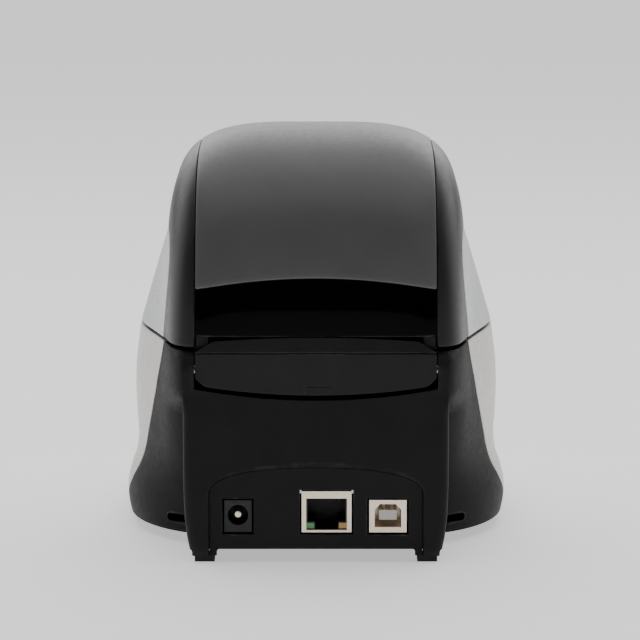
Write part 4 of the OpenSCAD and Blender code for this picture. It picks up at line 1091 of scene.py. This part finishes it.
bpy.ops.object.camera_add()
camera = bpy.context.object
aim(camera, TARGET + DISTANCE * Vector((0, math.cos(TILT), math.sin(TILT))), TARGET)
camera.data.lens, camera.data.sensor_width = LENS, SENSOR
bpy.context.scene.camera = camera

bpy.ops.mesh.primitive_plane_add(size=1)
floor = bpy.context.object
floor.name = "studio_floor"
floor.scale = (FLOOR_SIZE, FLOOR_SIZE, 1)
bpy.ops.object.transform_apply(scale=True)
paper = surface("studio_paper", grey(0.92), grey(0.94), (0.7, 0.8), 1.0, 0.01)
paper.node_tree.nodes["Principled BSDF"].inputs["Emission Color"].default_value = (1, 1, 1, 1)
paper.node_tree.nodes["Principled BSDF"].inputs["Emission Strength"].default_value = PAPER_GLOW
floor.data.materials.append(paper)

for name, place, target, size, power in LIGHTS:
    bpy.ops.object.light_add(type="AREA")
    light = bpy.context.object
    light.name, light.data.shape, light.data.energy = name, "RECTANGLE", power
    light.data.size, light.data.size_y = size
    aim(light, place, target)
print("camera", DISTANCE, "m away,", len(LIGHTS), "lights")

# %% [markdown]
# ## The room
# Gloss parts show what stands round them, so the world is a simple room.
# It is white beyond the printer and falls off to nearly black behind the camera.
# A dark card stands low on each side, and keeps the flanks from shining.
# The world's Y picks the brightness, and a mask of X and Z takes the strength down.

# %% Build the room
ROOM = [(0, 1.0), (0.05, 0.9), (0.13, 0.45), (0.24, 0.14), (0.42, 0.08), (0.6, 0.06), (0.8, 0.03), (1, 0.02)]
STRENGTH, CARD_DARK, CARD_X, CARD_Z = 2.5, 0.94, (0.14, 0.3), (0.04, 0.22)


def pale_room():
    world = bpy.data.worlds.new("pale_room")
    bpy.context.scene.world = world
    world.use_nodes = True
    tree = world.node_tree
    background = tree.nodes["Background"]
    place, split = add_node(tree, "ShaderNodeTexCoord"), add_node(tree, "ShaderNodeSeparateXYZ")
    tree.links.new(place.outputs["Generated"], split.inputs["Vector"])

    tones = add_node(tree, "ShaderNodeValToRGB")
    tones.color_ramp.interpolation = "EASE"
    for stop, (at, value) in enumerate(ROOM):
        point = tones.color_ramp.elements[stop] if stop < 2 else tones.color_ramp.elements.new(at)
        point.position, point.color = at, (value, value, value, 1)
    tree.links.new(map_range(tree, split.outputs["Y"], -1, 1), tones.inputs["Fac"])
    tree.links.new(tones.outputs["Color"], background.inputs["Color"])

    across = add_node(tree, "ShaderNodeMath", operation="ABSOLUTE")
    tree.links.new(split.outputs["X"], across.inputs[0])
    card = multiply(tree, map_range(tree, across.outputs["Value"], *CARD_X),
                    map_range(tree, split.outputs["Z"], *CARD_Z, 1, 0))
    dim = add_node(tree, "ShaderNodeMath", operation="MULTIPLY_ADD")
    tree.links.new(card, dim.inputs[0])
    dim.inputs[1].default_value, dim.inputs[2].default_value = -CARD_DARK * STRENGTH, STRENGTH
    tree.links.new(dim.outputs["Value"], background.inputs["Strength"])


pale_room()
print("room:", len(ROOM), "tones")
